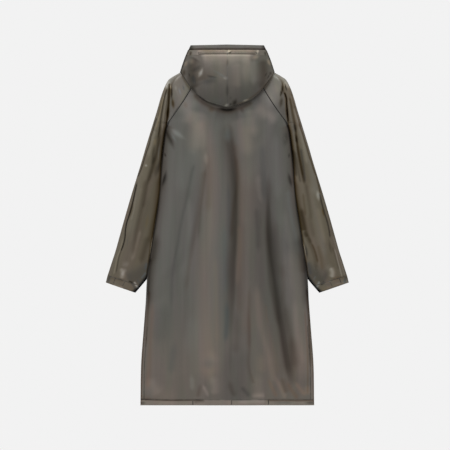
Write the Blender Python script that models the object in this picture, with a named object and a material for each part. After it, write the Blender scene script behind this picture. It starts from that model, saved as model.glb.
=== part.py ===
"""A hooded raglan raincoat of smoke-tinted rainproof film, laid flat on its front.

Units are metres. X runs across the coat, Y from hem to hood and Z up off the surface it lies on, so the
back panel faces up. The origin is on that surface, under the middle of the coat. Each piece of cloth is a
wall of even thickness round a grid of points on its own middle surface, and the pieces lie on each other
in the order in which a coat is laid: fronts, back, hood, with the sleeves turned in under the body.
"""

import math
from collections import namedtuple

import bmesh
import bpy
import numpy as np

# ---- Cloth and laid layers ---------------------------------------------------------------------------
WALL = 0.0012  # thickness of one layer of cloth
SEAM_GAP = 0.0003  # between pieces that meet edge to edge or face to face
LAYER = WALL + SEAM_GAP  # from the middle of one laid layer to the middle of the next
FLOOR = WALL / 2  # middle of a layer that lies on the surface
HEM_EXTRA = 0.0005  # what a turned-up hem adds to the wall's outer side

# ---- Body --------------------------------------------------------------------------------------------
HEM_Y = -0.648
HEM_DEPTH = 0.018
UNDERARM_Y = 0.371
UNDERARM_X = 0.2135
RAGLAN_NECK_X = 0.112  # where the raglan seam reaches the neckline
RAGLAN_NECK_Y = 0.527
SHOULDER_NECK_X = 0.171  # where the neckline folds over the shoulder
SHOULDER_NECK_Y = 0.549
BACK_NECK_DIP = 0.012
FRONT_OVERLAP = 0.035  # each front passes the centre line by this much
AIR = 0.007  # how far the back stands off the fronts between its folds
BODY_AIR_REACH = 0.075  # distance from a side seam over which it rises
HEM_AIR = 0.0012
HEM_AIR_LENGTH = 0.120  # distance from the hem over which it rises
RAGLAN_LIFT = 0.0035  # how far the raglan seams stand up, where sleeve and back meet over the shoulder
RAGLAN_LIFT_LENGTH = 0.070
NECK_REACH = 0.060  # how far past the underarm the rows still follow the neckline

BodyRow = namedtuple("BodyRow", "y half_width")
BODY_SIDE = (
    BodyRow(-0.648, 0.3135),
    BodyRow(-0.486, 0.3100),
    BodyRow(-0.378, 0.3015),
    BodyRow(-0.270, 0.2935),
    BodyRow(-0.187, 0.2890),
    BodyRow(-0.094, 0.2765),
    BodyRow(0.000, 0.2615),
    BodyRow(0.126, 0.2430),
    BodyRow(0.241, 0.2355),
    BodyRow(0.306, 0.2275),
    BodyRow(0.371, 0.2135),
)

NeckRow = namedtuple("NeckRow", "x y")
FRONT_NECK = (
    NeckRow(0.000, 0.455),
    NeckRow(0.040, 0.460),
    NeckRow(0.070, 0.473),
    NeckRow(0.095, 0.496),
    NeckRow(0.112, 0.527),
)

# Long soft folds of the back, as paths from the shoulders to the hem, with a half width on either side. A
# negative height is a trough. A fold that rolls falls ever more steeply on its right and ends in a crease.
Fold = namedtuple("Fold", "top_x top_y middle_x middle_y low_x low_y height left right rolls")
BACK_FOLDS = (
    Fold(-0.080, 0.387, -0.028, 0.060, -0.048, -0.571, 0.0090, 0.050, 0.062, True),
    Fold(0.082, 0.235, 0.112, -0.050, 0.186, -0.571, 0.0075, 0.040, 0.052, True),
    Fold(0.237, -0.053, 0.263, -0.280, 0.273, -0.585, 0.0060, 0.040, 0.036, False),
    Fold(-0.080, 0.207, -0.123, -0.071, -0.149, -0.269, -0.0026, 0.022, 0.018, False),
    Fold(-0.116, 0.225, -0.181, -0.088, -0.203, -0.341, -0.0022, 0.018, 0.022, False),
)
ROLL_POWER = 3  # how late and steeply a rolling fold falls
FOLD_FADE = 0.110

# ---- Front closure -----------------------------------------------------------------------------------
SNAP_RADIUS = 0.0065
SNAP_HEIGHT = 0.0016
SNAP_DOME = 0.0005
SNAP_FLAT_RADIUS = 0.0040
SNAP_COUNT = 8
SNAP_TOP_Y = 0.590
SNAP_STEP = 0.135
SNAP_SIDES = 16
OUTER_FRONT_LIFT = SNAP_HEIGHT + SEAM_GAP  # the outer front lies on its snaps
INNER_FRONT_LIFT = OUTER_FRONT_LIFT + LAYER
CLOSURE_FLAT = 0.070  # distance from the centre line over which the fronts stay lifted
CLOSURE_RAMP = 0.060

# ---- Sleeves -----------------------------------------------------------------------------------------
# Each section runs from the underarm side to the outer fold. crease is the share of that way at which the
# sleeve turns away from the body's plane. Below the underarm it is at least where the sleeve comes out from
# under the body, so that the stretch before it lies flat under the fronts.
SleeveRow = namedtuple("SleeveRow", "inner_x inner_y outer_x outer_y crease puff fold_radius")
SLEEVE = (
    SleeveRow(0.1124, 0.5272, 0.1720, 0.5490, 0.90, 0.0000, 0.0010),
    SleeveRow(0.1328, 0.4958, 0.1950, 0.5360, 0.88, 0.0006, 0.0014),
    SleeveRow(0.1504, 0.4687, 0.2130, 0.5220, 0.80, 0.0020, 0.0018),
    SleeveRow(0.1662, 0.4444, 0.2280, 0.4930, 0.67, 0.0045, 0.0022),
    SleeveRow(0.1826, 0.4192, 0.2400, 0.4590, 0.50, 0.0070, 0.0025),
    SleeveRow(0.2000, 0.3924, 0.2520, 0.4170, 0.25, 0.0085, 0.0025),
    SleeveRow(0.2139, 0.3712, 0.2640, 0.3780, 0.06, 0.0090, 0.0025),
    SleeveRow(0.2168, 0.3610, 0.2688, 0.3620, 0.06, 0.0090, 0.0025),
    SleeveRow(0.2060, 0.3260, 0.2800, 0.3260, 0.06, 0.0095, 0.0025),
    SleeveRow(0.1800, 0.2680, 0.2940, 0.2800, 0.06, 0.0100, 0.0025),
    SleeveRow(0.1600, 0.2000, 0.3090, 0.2280, 0.06, 0.0105, 0.0025),
    SleeveRow(0.1500, 0.1280, 0.3250, 0.1760, 0.06, 0.0110, 0.0025),
    SleeveRow(0.1520, 0.0680, 0.3405, 0.1260, 0.06, 0.0115, 0.0025),
    SleeveRow(0.1640, 0.0140, 0.3565, 0.0720, 0.06, 0.0120, 0.0025),
    SleeveRow(0.1840, -0.0380, 0.3720, 0.0180, 0.06, 0.0120, 0.0025),
    SleeveRow(0.2120, -0.0900, 0.3870, -0.0360, 0.06, 0.0120, 0.0025),
    SleeveRow(0.2440, -0.1370, 0.4020, -0.0900, 0.06, 0.0110, 0.0025),
    SleeveRow(0.2740, -0.1740, 0.4150, -0.1300, 0.06, 0.0100, 0.0025),
    SleeveRow(0.2960, -0.2010, 0.4255, -0.1630, 0.06, 0.0085, 0.0024),
    SleeveRow(0.3130, -0.2215, 0.4320, -0.1835, 0.06, 0.0070, 0.0022),
    SleeveRow(0.3323, -0.2425, 0.4374, -0.2055, 0.06, 0.0055, 0.0020),
)
UNDERARM_SECTION = 6  # the last section that ends on the raglan seam
CUFF_SECTION = 19  # where the cuff's turned hem begins
SLEEVE_TURN = 0.0035  # how far the shoulder crease dips below the raglan seam
SIDE_CLEARANCE = 0.0015  # from the body's side seam to where the sleeve beside it rises
CREASE_CLEARANCE = 0.0006  # least air between the sleeve's two layers at the crease
UNDER_RAMP = 0.040  # distance over which the under layer comes down from the raglan seam
PUFF_ROUNDNESS = 0.8  # powers of the sine that shapes a swell: lower is fuller at its sides
FOLD_ROUNDNESS = 0.5

# Folds that run down the sleeve, by their share of the way from crease to outer fold, at shoulder and cuff.
SleeveFold = namedtuple("SleeveFold", "top_share low_share top_height low_height half_width")
SLEEVE_FOLDS = (
    SleeveFold(0.20, 0.30, 0.0040, 0.0000, 0.10),
    SleeveFold(0.38, 0.48, -0.0035, -0.0010, 0.08),
    SleeveFold(0.56, 0.62, 0.0040, 0.0020, 0.10),
    SleeveFold(0.80, 0.80, -0.0020, -0.0015, 0.07),
)

# ---- Where the fronts climb over the turned-in sleeves -------------------------------------------------
CLIMB_MARGIN = 0.042
CLIMB_LENGTH = 0.050
SLEEVE_SHOWS_Y = -0.193  # the sleeve comes out from under the body here

# ---- Hood --------------------------------------------------------------------------------------------
HOOD_RIM_Y = 0.632
HOOD_RIM_X = 0.1415
HOOD_HEM = 0.022
HOOD_SIDE_BULGE = 0.002
HOOD_DOME = 0.024
HOOD_RIM_HEIGHT = 0.010
HOOD_FOLD_RADIUS = 0.0045
HOOD_CORNER_RADIUS = 0.0008
HOOD_CLEARANCE = 0.0012  # more than a seam's gap, because the hood rests on curved cloth
HOOD_SEAM_GAP = 0.0010  # between its halves, whose walls lean a little with the folds under them
HOOD_NAPE_SIDE_X = 0.160
HOOD_DOME_ROUNDNESS = 0.8
# Shares of the way from the hood's corner to its centre seam over which a measure reaches its full value.
HOOD_LAID_SHARE = 0.16
HOOD_FOLD_SHARE = 0.25
HOOD_DOME_SHARE = 0.75
HOOD_RIM_SHARE = 0.50
ArcRow = namedtuple("ArcRow", "x y")
HOOD_ARC = (
    ArcRow(0.000, 0.4230),
    ArcRow(0.014, 0.4265),
    ArcRow(0.030, 0.4310),
    ArcRow(0.060, 0.4400),
    ArcRow(0.095, 0.4570),
    ArcRow(0.131, 0.4940),
    ArcRow(0.155, 0.5290),
    ArcRow(0.170, 0.5500),
)

# ---- Collar, the standing front of the hood -----------------------------------------------------------
COLLAR_TOP_Y = 0.6460
COLLAR_PEAK = 0.002
COLLAR_TOP_X = 0.132
COLLAR_GAP = 0.00075  # along the slanted neckline, which brings its pieces nearer than their spacing in Y

# ---- Mesh fineness -------------------------------------------------------------------------------------
BACK_COLUMNS = 36
FRONT_COLUMNS = 9
YOKE_ROWS = 5  # from the neckline to the underarm
SKIRT_ROWS = 22  # from the underarm to the hem
SLEEVE_FLAT_COLUMNS = 3
SLEEVE_FULL_COLUMNS = 10
SLEEVE_UNDER_COLUMNS = 6
FOLD_STEPS = 4
HOOD_COLUMNS = 11
HOOD_ROWS = 8
NAPE_ROWS = 3
COLLAR_ROWS = 5
NECK_COLUMNS = 3  # the collar's columns along the sleeve's neck edge

FILM_COLOUR = (0.130, 0.115, 0.098, 1.0)
SLEEVE_COLOUR = (0.120, 0.102, 0.080, 1.0)
SNAP_COLOUR = (0.060, 0.055, 0.050, 1.0)


def smooth(share):
    """0 up to 0, 1 from 1, and an even S between."""
    share = np.clip(share, 0.0, 1.0)
    return share * share * (3.0 - 2.0 * share)


def between(start, end, share):
    """The point or number a share of the way from start to end."""
    return start + (end - start) * share


def curve(table, at):
    """The second column of a table, on a smooth curve through its rows, where the first column is at."""
    xs = np.array([row[0] for row in table])
    ys = np.array([row[1] for row in table])
    slopes = np.gradient(ys, xs)
    at = np.clip(at, xs[0], xs[-1])
    i = np.clip(np.searchsorted(xs, at) - 1, 0, len(xs) - 2)
    span = xs[i + 1] - xs[i]
    s = (at - xs[i]) / span
    start = (1 + 2 * s) * (1 - s) ** 2 * ys[i] + s * (1 - s) ** 2 * span * slopes[i]
    end = s * s * (3 - 2 * s) * ys[i + 1] + s * s * (s - 1) * span * slopes[i + 1]
    return start + end


def body_half_width(y):
    """Half the body's width at a height: the raglan seam above the underarm, the side seam below."""
    raglan = between(UNDERARM_X, RAGLAN_NECK_X, (y - UNDERARM_Y) / (RAGLAN_NECK_Y - UNDERARM_Y))
    return np.where(y > UNDERARM_Y, raglan, curve(BODY_SIDE, y))


def sleeve_inner_x(y):
    """The turned-in sleeve's inner edge, as a distance from the centre line, where it lies under the body."""
    rows = SLEEVE[: UNDERARM_SECTION : -1]
    return np.interp(y, [row.inner_y for row in rows], [row.inner_x for row in rows])


def sleeve_climb(x, y):
    """From 0 to 1, how far the cloth at this point is lifted over the turned-in sleeve."""
    top = SLEEVE[UNDERARM_SECTION + 1].inner_y
    beside = np.maximum(0.0, sleeve_inner_x(np.clip(y, SLEEVE_SHOWS_Y, top)) - np.abs(x))
    beyond = np.maximum(0.0, y - top) + np.maximum(0.0, SLEEVE_SHOWS_Y - y)
    return 1.0 - smooth((np.hypot(beside, beyond) - CLIMB_MARGIN) / CLIMB_LENGTH)


def front_height(x, y, lift):
    """Middle of a front, which lies on the surface but for the sleeve and the closure under it."""
    closure = lift * (1.0 - smooth((np.abs(x) - CLOSURE_FLAT) / CLOSURE_RAMP))
    return FLOOR + closure + 2 * LAYER * sleeve_climb(x, y)


def fold_path(fold, y):
    """Where a fold of the back lies at a height, on a parabola through its three points."""
    a, b, c = fold.top_y, fold.middle_y, fold.low_y
    return (
        fold.top_x * (y - b) * (y - c) / ((a - b) * (a - c))
        + fold.middle_x * (y - a) * (y - c) / ((b - a) * (b - c))
        + fold.low_x * (y - a) * (y - b) / ((c - a) * (c - b))
    )


def fold_height(x, y):
    """Sum of the back's folds at a point."""
    total = np.zeros_like(x + y)
    for fold in BACK_FOLDS:
        held = np.clip(y, fold.low_y, fold.top_y)
        fade = smooth((fold.top_y + FOLD_FADE / 2 - y) / FOLD_FADE) * smooth(
            (y - fold.low_y + FOLD_FADE / 2) / FOLD_FADE
        )
        off = x - fold_path(fold, held)
        profile = np.exp(-((off / np.where(off < 0, fold.left, fold.right)) ** 2))
        if fold.rolls:
            rolled = np.clip(1.0 - (np.abs(off) / fold.right) ** ROLL_POWER, 0.0, 1.0)
            profile = np.where(off < 0, profile, rolled)
        total += fold.height * fade * profile
    return total


def back_height(x, y):
    """Middle of the back panel: laid on the fronts at seams and hem, and standing off them between."""
    laid = front_height(x, y, INNER_FRONT_LIFT) + LAYER
    inside = smooth((body_half_width(y) - np.abs(x)) / BODY_AIR_REACH)
    above_hem = smooth((y - HEM_Y) / HEM_AIR_LENGTH)
    raglan = RAGLAN_LIFT * smooth((y - UNDERARM_Y) / RAGLAN_LIFT_LENGTH)
    air = np.maximum(AIR + fold_height(x, y), 0.0)
    return laid + HEM_AIR * inside + air * inside * above_hem + raglan * (1.0 - inside)


def material(name, colour, roughness, metallic=0.0):
    """A plain finish."""
    made = bpy.data.materials.new(name)
    made.use_nodes = True
    shader = made.node_tree.nodes["Principled BSDF"]
    shader.inputs["Base Color"].default_value = colour
    shader.inputs["Roughness"].default_value = roughness
    shader.inputs["Metallic"].default_value = metallic
    made.diffuse_color = colour
    return made


def add_object(name, mesh, finish):
    """Links a mesh as one named object with its finish."""
    mesh.materials.append(finish)
    mesh.shade_smooth()
    mesh.set_sharp_from_angle(angle=math.radians(50))
    made = bpy.data.objects.new(name, mesh)
    bpy.context.scene.collection.objects.link(made)
    return made


def wall(name, middle, finish, extra=0.0):
    """A closed wall round a grid of middle points. extra thickens the side that faces out."""
    rows, columns = middle.shape[:2]
    down, across = np.gradient(middle, axis=0), np.gradient(middle, axis=1)
    normal = np.cross(down, across)
    normal /= np.linalg.norm(normal, axis=2, keepdims=True)
    extra = np.broadcast_to(np.asarray(extra, float), (rows, columns))[..., None]
    sides = (middle + normal * (WALL / 2 + extra), middle - normal * WALL / 2)
    points = np.concatenate([side.reshape(-1, 3) for side in sides])
    points[:, 2] = np.maximum(points[:, 2], 0.0)

    def at(side, row, column):
        return side * rows * columns + row * columns + column

    faces = []
    for row in range(rows - 1):
        for column in range(columns - 1):
            ring = ((row, column), (row + 1, column), (row + 1, column + 1), (row, column + 1))
            faces.append([at(0, *corner) for corner in ring])
            faces.append([at(1, *corner) for corner in reversed(ring)])
    rim = [(0, c) for c in range(columns)] + [(r, columns - 1) for r in range(1, rows)]
    rim += [(rows - 1, c) for c in range(columns - 2, -1, -1)] + [(r, 0) for r in range(rows - 2, 0, -1)]
    for first, second in zip(rim, rim[1:] + rim[:1]):
        faces.append([at(0, *first), at(0, *second), at(1, *second), at(1, *first)])

    mesh = bpy.data.meshes.new(name)
    mesh.from_pydata(points.tolist(), [], faces)
    shape = bmesh.new()
    shape.from_mesh(mesh)
    bmesh.ops.recalc_face_normals(shape, faces=shape.faces)
    shape.to_mesh(mesh)
    shape.free()
    return add_object(name, mesh, finish)


def body_rows():
    """Heights of the body's rows at its sides, from neckline to hem, with a close pair at the hem's edge."""
    yoke = np.linspace(RAGLAN_NECK_Y, UNDERARM_Y, YOKE_ROWS + 1)
    skirt = np.linspace(UNDERARM_Y, HEM_Y + HEM_DEPTH + WALL, SKIRT_ROWS + 1)[1:]
    return np.concatenate([yoke, skirt, [HEM_Y + HEM_DEPTH, HEM_Y]])


def panel_half_width(rows):
    """Half width of a body panel at each row, with half the raglan seam's gap taken off."""
    on_raglan = rows > UNDERARM_Y - SEAM_GAP
    return body_half_width(rows) - np.where(on_raglan, SEAM_GAP / 2, 0.0)


def hem_extra(rows, columns):
    """The hem's extra thickness, on the last two rows of the back."""
    extra = np.zeros((rows, columns))
    extra[-2:] = HEM_EXTRA
    return extra


def neck_share(rows):
    """How much of the neckline's dip each row of the yoke still follows."""
    return 1.0 - smooth((RAGLAN_NECK_Y - rows) / (RAGLAN_NECK_Y - UNDERARM_Y + NECK_REACH))


def back_panel(finish):
    """The back, from the neckline down between the raglan and side seams to the hem."""
    rows = body_rows()
    share = np.linspace(-1.0, 1.0, BACK_COLUMNS + 1)
    x = panel_half_width(rows)[:, None] * share[None, :]
    dip = BACK_NECK_DIP * (1.0 - share**2)
    y = rows[:, None] - dip[None, :] * neck_share(rows)[:, None]
    z = back_height(x, y)
    return wall("back_panel", np.stack([x, y, z], axis=2), finish, hem_extra(*x.shape))


def front_grid_x(half, side):
    """Columns of a front, from its side seam to its free edge past the centre line."""
    share = np.linspace(0.0, 1.0, FRONT_COLUMNS + 1)
    return side * between(half[:, None], -FRONT_OVERLAP, share[None, :])


def front_neck_y(x):
    """The front neckline, level with itself past the centre line."""
    return curve(FRONT_NECK, np.abs(x))


def front_panel(name, side, lift, finish):
    """One front. Its underside is the face that the coat rests on."""
    rows = body_rows()
    x = front_grid_x(panel_half_width(rows), side)
    drop = RAGLAN_NECK_Y - front_neck_y(x[0])
    y = rows[:, None] - drop[None, :] * neck_share(rows)[:, None]
    z = front_height(x, y, lift)
    return wall(name, np.stack([x, y, z], axis=2), finish)


def collar(name, side, lift, finish):
    """One half of the standing collar, from the front neckline up to the rim."""
    neck_x = front_grid_x(np.array([RAGLAN_NECK_X - SEAM_GAP / 2]), side)[0]
    neck_y = front_neck_y(neck_x)
    share = np.linspace(0.0, 1.0, NECK_COLUMNS + 1)[:-1]
    low_x = np.concatenate([side * between(SHOULDER_NECK_X, RAGLAN_NECK_X, share), neck_x])
    low_y = np.concatenate([between(SHOULDER_NECK_Y, RAGLAN_NECK_Y, share), neck_y]) + COLLAR_GAP
    top_x = np.linspace(side * COLLAR_TOP_X, -side * FRONT_OVERLAP, len(low_x))
    top_y = COLLAR_TOP_Y + COLLAR_PEAK * (1.0 - (np.abs(top_x) / COLLAR_TOP_X))
    rise = np.linspace(0.0, 1.0, COLLAR_ROWS + 1)[:, None]
    bulge = side * HOOD_SIDE_BULGE * np.sin(math.pi * rise) * np.linspace(1.0, 0.0, len(low_x))[None, :] ** 2
    x = between(top_x[None, :], low_x[None, :], rise) + bulge
    y = between(top_y[None, :], low_y[None, :], rise)
    z = front_height(x, y, lift)
    return wall(name, np.stack([x, y, z], axis=2), finish)


def sleeve_fold_height(share, down):
    """Sum of the sleeve's long folds, a share of the way from crease to outer fold and down the sleeve."""
    total = 0.0
    for fold in SLEEVE_FOLDS:
        centre = between(fold.top_share, fold.low_share, down)
        height = between(fold.top_height, fold.low_height, smooth(down))
        total += height * math.exp(-(((share - centre) / fold.half_width) ** 2))
    return total


def crease_share(row, inner, centre):
    """Share of a section's way at which the sleeve turns, which is outside the body below the underarm."""
    share = row.crease
    for _ in range(4):
        place = between(inner, centre, share)
        edge = float(body_half_width(place[1])) + SIDE_CLEARANCE
        share = max(row.crease, (edge - inner[0]) / (centre[0] - inner[0]))
    return share


def sleeve_section(row, index, side):
    """Middle points of one section: in along the surface, round the outer fold and back over the top."""
    inner = np.array([row.inner_x, row.inner_y])
    outer = np.array([row.outer_x, row.outer_y])
    width = np.linalg.norm(outer - inner)
    inward = (inner - outer) / width
    turn = row.fold_radius + WALL / 2  # from the outline to the fold's centre
    centre = outer + inward * turn
    on_seam = index <= UNDERARM_SECTION
    seam_x, seam_y = side * row.inner_x, row.inner_y
    lift = OUTER_FRONT_LIFT if side < 0 else INNER_FRONT_LIFT
    under_inner = float(front_height(seam_x, seam_y, lift)) if on_seam else FLOOR
    over_inner = float(back_height(np.array(seam_x), np.array(seam_y))) if on_seam else FLOOR + LAYER
    over_crease = max(over_inner - SLEEVE_TURN, FLOOR + LAYER + CREASE_CLEARANCE) if on_seam else over_inner
    fold_top = FLOOR + 2 * row.fold_radius
    crease = row.crease if on_seam else crease_share(row, inner, centre)
    points = []
    for share in np.linspace(0.0, 1.0, SLEEVE_UNDER_COLUMNS):
        place = between(inner, centre, share)
        points.append((*place, between(under_inner, FLOOR, float(smooth(share * width / UNDER_RAMP)))))
    for step in range(1, FOLD_STEPS):
        angle = math.pi * step / FOLD_STEPS
        place = centre - inward * row.fold_radius * math.sin(angle)
        points.append((*place, FLOOR + row.fold_radius * (1.0 - math.cos(angle))))
    down = index / (len(SLEEVE) - 1)
    folded = float(smooth(index / UNDERARM_SECTION))
    for share in np.linspace(1.0, 0.0, SLEEVE_FULL_COLUMNS):
        place = between(inner, centre, between(crease, 1.0, share))
        height = between(over_crease, fold_top, float(smooth(share)))
        swell = math.sin(math.pi * share)
        height += row.puff * swell**PUFF_ROUNDNESS
        height += sleeve_fold_height(share, down) * folded * swell**FOLD_ROUNDNESS
        points.append((*place, height))
    for share in np.linspace(1.0, 0.0, SLEEVE_FLAT_COLUMNS + 1)[1:]:
        place = between(inner, centre, crease * share)
        points.append((*place, between(over_inner, over_crease, float(smooth(share)))))
    points = np.array(points)
    points[:, 0] *= side
    return points


def sleeve(name, side, finish):
    """One sleeve, cut in one piece that is closed by its underarm seam and open along the raglan seams."""
    grid = np.array([sleeve_section(row, i, side) for i, row in enumerate(SLEEVE)])
    extra = np.zeros(grid.shape[:2])
    extra[CUFF_SECTION:, SLEEVE_UNDER_COLUMNS:] = HEM_EXTRA
    return wall(name, grid if side < 0 else grid[::-1], finish, extra if side < 0 else extra[::-1])


def nape_height(x, y, share):
    """Middle of the hood's hidden layer, which lies on the back and over the sleeve's neck end."""
    held = np.sign(x) * np.minimum(np.abs(x), body_half_width(np.minimum(y, RAGLAN_NECK_Y)))
    on_back = back_height(held, np.minimum(y, RAGLAN_NECK_Y)) + LAYER + HOOD_CLEARANCE
    corner = FLOOR + 2 * SLEEVE[0].fold_radius + LAYER + HOOD_CLEARANCE
    return between(corner, on_back, smooth(share / HOOD_LAID_SHARE))


def hood(name, side, finish):
    """One half of the hood: down over the top, round the fold at its foot and back up to the neckline."""
    columns = []
    for share in np.linspace(0.0, 1.0, HOOD_COLUMNS + 1):
        centre_gap = HOOD_SEAM_GAP / 2 if share == 1.0 else 0.0
        foot_x = between(HOOD_ARC[-1].x, centre_gap, share)
        foot = np.array([foot_x, float(curve(HOOD_ARC, foot_x))])
        rim = np.array([between(HOOD_RIM_X, centre_gap, share), HOOD_RIM_Y])
        nape_x = between(HOOD_NAPE_SIDE_X, centre_gap, share)
        along_sleeve = (nape_x - RAGLAN_NECK_X) / (SHOULDER_NECK_X - RAGLAN_NECK_X)
        back_neck_y = RAGLAN_NECK_Y - BACK_NECK_DIP * (1.0 - (nape_x / RAGLAN_NECK_X) ** 2)
        side_neck_y = between(RAGLAN_NECK_Y, SHOULDER_NECK_Y, along_sleeve)
        nape = np.array([nape_x, side_neck_y if along_sleeve > 0 else back_neck_y])
        radius = between(HOOD_CORNER_RADIUS, HOOD_FOLD_RADIUS, float(smooth(share / HOOD_FOLD_SHARE)))
        upward = (rim - foot) / np.linalg.norm(rim - foot)
        centre = foot + upward * (radius + WALL / 2)
        under = float(nape_height(side * centre[0], centre[1], share))
        rim_height = between(FLOOR + LAYER, HOOD_RIM_HEIGHT, float(smooth(share / HOOD_RIM_SHARE)))
        points = []
        steps = np.concatenate([[0.0], [HOOD_HEM, HOOD_HEM + WALL] / np.linalg.norm(rim - centre)])
        steps = np.concatenate([steps, np.linspace(steps[-1], 1.0, HOOD_ROWS - 1)[1:]])
        for step in steps:
            place = between(rim, centre, step)
            place[0] += HOOD_SIDE_BULGE * math.sin(math.pi * step) * (1.0 - share) ** 2
            swell = HOOD_DOME * math.sin(math.pi * step) ** HOOD_DOME_ROUNDNESS
            swell *= float(smooth(share / HOOD_DOME_SHARE))
            points.append((*place, between(rim_height, under + 2 * radius, step) + swell))
        for step in range(1, FOLD_STEPS):
            angle = math.pi * step / FOLD_STEPS
            place = centre - upward * radius * math.sin(angle)
            points.append((*place, under + radius * (1.0 + math.cos(angle))))
        for step in np.linspace(0.0, 1.0, NAPE_ROWS + 1):
            place = between(centre, nape, step)
            points.append((*place, float(nape_height(side * place[0], place[1], share))))
        columns.append(points)
    grid = np.array(columns).transpose(1, 0, 2)
    grid[:, :, 0] *= side
    extra = np.zeros(grid.shape[:2])
    extra[:2] = HEM_EXTRA
    if side < 0:
        return wall(name, grid, finish, extra)
    return wall(name, grid[:, ::-1], finish, extra[:, ::-1])


def snap(name, y, finish):
    """A snap's cap, domed towards the surface that it lies on."""
    profile = ((SNAP_FLAT_RADIUS, 0.0), (SNAP_RADIUS, SNAP_DOME), (SNAP_RADIUS, SNAP_HEIGHT))
    angles = [2 * math.pi * i / SNAP_SIDES for i in range(SNAP_SIDES)]
    shape = bmesh.new()
    rings = []
    for radius, height in profile:
        ring = [(radius * math.cos(angle), y + radius * math.sin(angle), height) for angle in angles]
        rings.append([shape.verts.new(point) for point in ring])
    shape.faces.new(reversed(rings[0]))
    shape.faces.new(rings[-1])
    for low, high in zip(rings, rings[1:]):
        for i in range(SNAP_SIDES):
            j = (i + 1) % SNAP_SIDES
            shape.faces.new((low[i], low[j], high[j], high[i]))
    mesh = bpy.data.meshes.new(name)
    shape.to_mesh(mesh)
    shape.free()
    return add_object(name, mesh, finish)


def clear_scene():
    """Removes what the file opened with."""
    for old in list(bpy.data.objects):
        bpy.data.objects.remove(old)


def main():
    """Builds the coat, piece by piece."""
    clear_scene()
    film = material("smoke_film", FILM_COLOUR, 0.42)
    sleeve_film = material("smoke_film_sleeve", SLEEVE_COLOUR, 0.42)
    cap = material("snap_cap", SNAP_COLOUR, 0.35)
    back_panel(film)
    front_panel("front_left", -1, OUTER_FRONT_LIFT, film)
    front_panel("front_right", 1, INNER_FRONT_LIFT, film)
    collar("collar_left", -1, OUTER_FRONT_LIFT, film)
    collar("collar_right", 1, INNER_FRONT_LIFT, film)
    for name, side in (("left", -1), ("right", 1)):
        sleeve(f"sleeve_{name}", side, sleeve_film)
        hood(f"hood_{name}", side, film)
    for number in range(SNAP_COUNT):
        snap(f"snap_{number + 1}", SNAP_TOP_Y - SNAP_STEP * number, cap)


main()
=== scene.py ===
"""Looks of a hooded raglan raincoat of smoke-tinted film, laid flat on its front with the back panel up.

Units are metres, and the tables of the cloth are in millimetres. X runs across the coat, Y from hem to hood
and Z up off the surface. Each panel is a fine shell on its solid's own middle surface, with its folds and
creases placed one by one, and its welds, hems and studs are pieces of their own.
"""

import logging
import math
from dataclasses import dataclass, field
from enum import Enum

import bpy
import numpy as np
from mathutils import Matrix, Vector


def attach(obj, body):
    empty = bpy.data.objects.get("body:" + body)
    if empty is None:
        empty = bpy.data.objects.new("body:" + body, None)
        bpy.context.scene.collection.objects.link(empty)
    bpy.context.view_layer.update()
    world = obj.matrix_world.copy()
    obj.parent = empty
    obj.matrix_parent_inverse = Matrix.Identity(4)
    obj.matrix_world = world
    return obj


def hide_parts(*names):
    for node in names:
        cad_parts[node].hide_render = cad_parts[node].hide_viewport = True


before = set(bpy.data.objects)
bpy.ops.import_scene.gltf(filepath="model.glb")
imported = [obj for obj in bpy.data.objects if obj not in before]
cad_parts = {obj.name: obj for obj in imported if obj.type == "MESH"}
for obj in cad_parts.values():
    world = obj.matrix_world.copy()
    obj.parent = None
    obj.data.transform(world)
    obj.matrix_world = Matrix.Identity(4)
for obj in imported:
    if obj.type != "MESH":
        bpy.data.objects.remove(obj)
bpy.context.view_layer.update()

MM = 0.001
LOG = logging.getLogger("raincoat")

Grid = np.ndarray
Point = tuple[float, float]
Size = tuple[float, float]  # a width, and a length or a height


class Side(Enum):
    """The wearer's left lies at -X, because the coat lies face down."""

    LEFT = -1
    RIGHT = 1

    @property
    def word(self) -> str:
        """The side as it is written in a piece's name."""
        return self.name.lower()


# ---- Small tools ------------------------------------------------------------


def smooth(share: Grid | float) -> Grid:
    """Returns 0 up to 0, 1 from 1, and an even S between."""
    share = np.clip(share, 0.0, 1.0)
    return share * share * (3.0 - 2.0 * share)


def between(start: Grid | float, end: Grid | float, share: Grid | float) -> Grid:
    """Returns the point or number a share of the way from start to end."""
    return start + (end - start) * share


def curve(xs: Grid, ys: Grid, at: Grid | float) -> Grid:
    """Reads a smooth curve through a table's rows.

    Args:
        xs: The rows' places, rising.
        ys: The rows' values.
        at: Where to read.

    Returns:
        The values there. Beyond the table's ends they are held.
    """
    slopes = np.gradient(ys, xs)
    at = np.clip(at, xs[0], xs[-1])
    i = np.clip(np.searchsorted(xs, at) - 1, 0, len(xs) - 2)
    span = xs[i + 1] - xs[i]
    s = (at - xs[i]) / span
    start = (1 + 2 * s) * (1 - s) ** 2 * ys[i] + s * (1 - s) ** 2 * span * slopes[i]
    end = s * s * (3 - 2 * s) * ys[i + 1] + s * s * (s - 1) * span * slopes[i + 1]
    return start + end


def linear(hex_code: str) -> tuple[float, float, float, float]:
    """Turns an sRGB colour into a linear one.

    Args:
        hex_code: The colour, such as "#5e5c58".

    Returns:
        Its red, green and blue, and full alpha.
    """
    channels = [int(hex_code[i : i + 2], 16) / 255 for i in (1, 3, 5)]
    values = [c / 12.92 if c <= 0.04045 else ((c + 0.055) / 1.055) ** 2.4 for c in channels]
    return (values[0], values[1], values[2], 1.0)


# ---- Folds ------------------------------------------------------------------

STEPS_PER_KNOT = 8  # how finely a fold's line is followed
REACH = 3.0  # the half widths beyond which a fold is gone
END_WIDTH = 0.4  # how narrow a fold gets where it dies away


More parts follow.
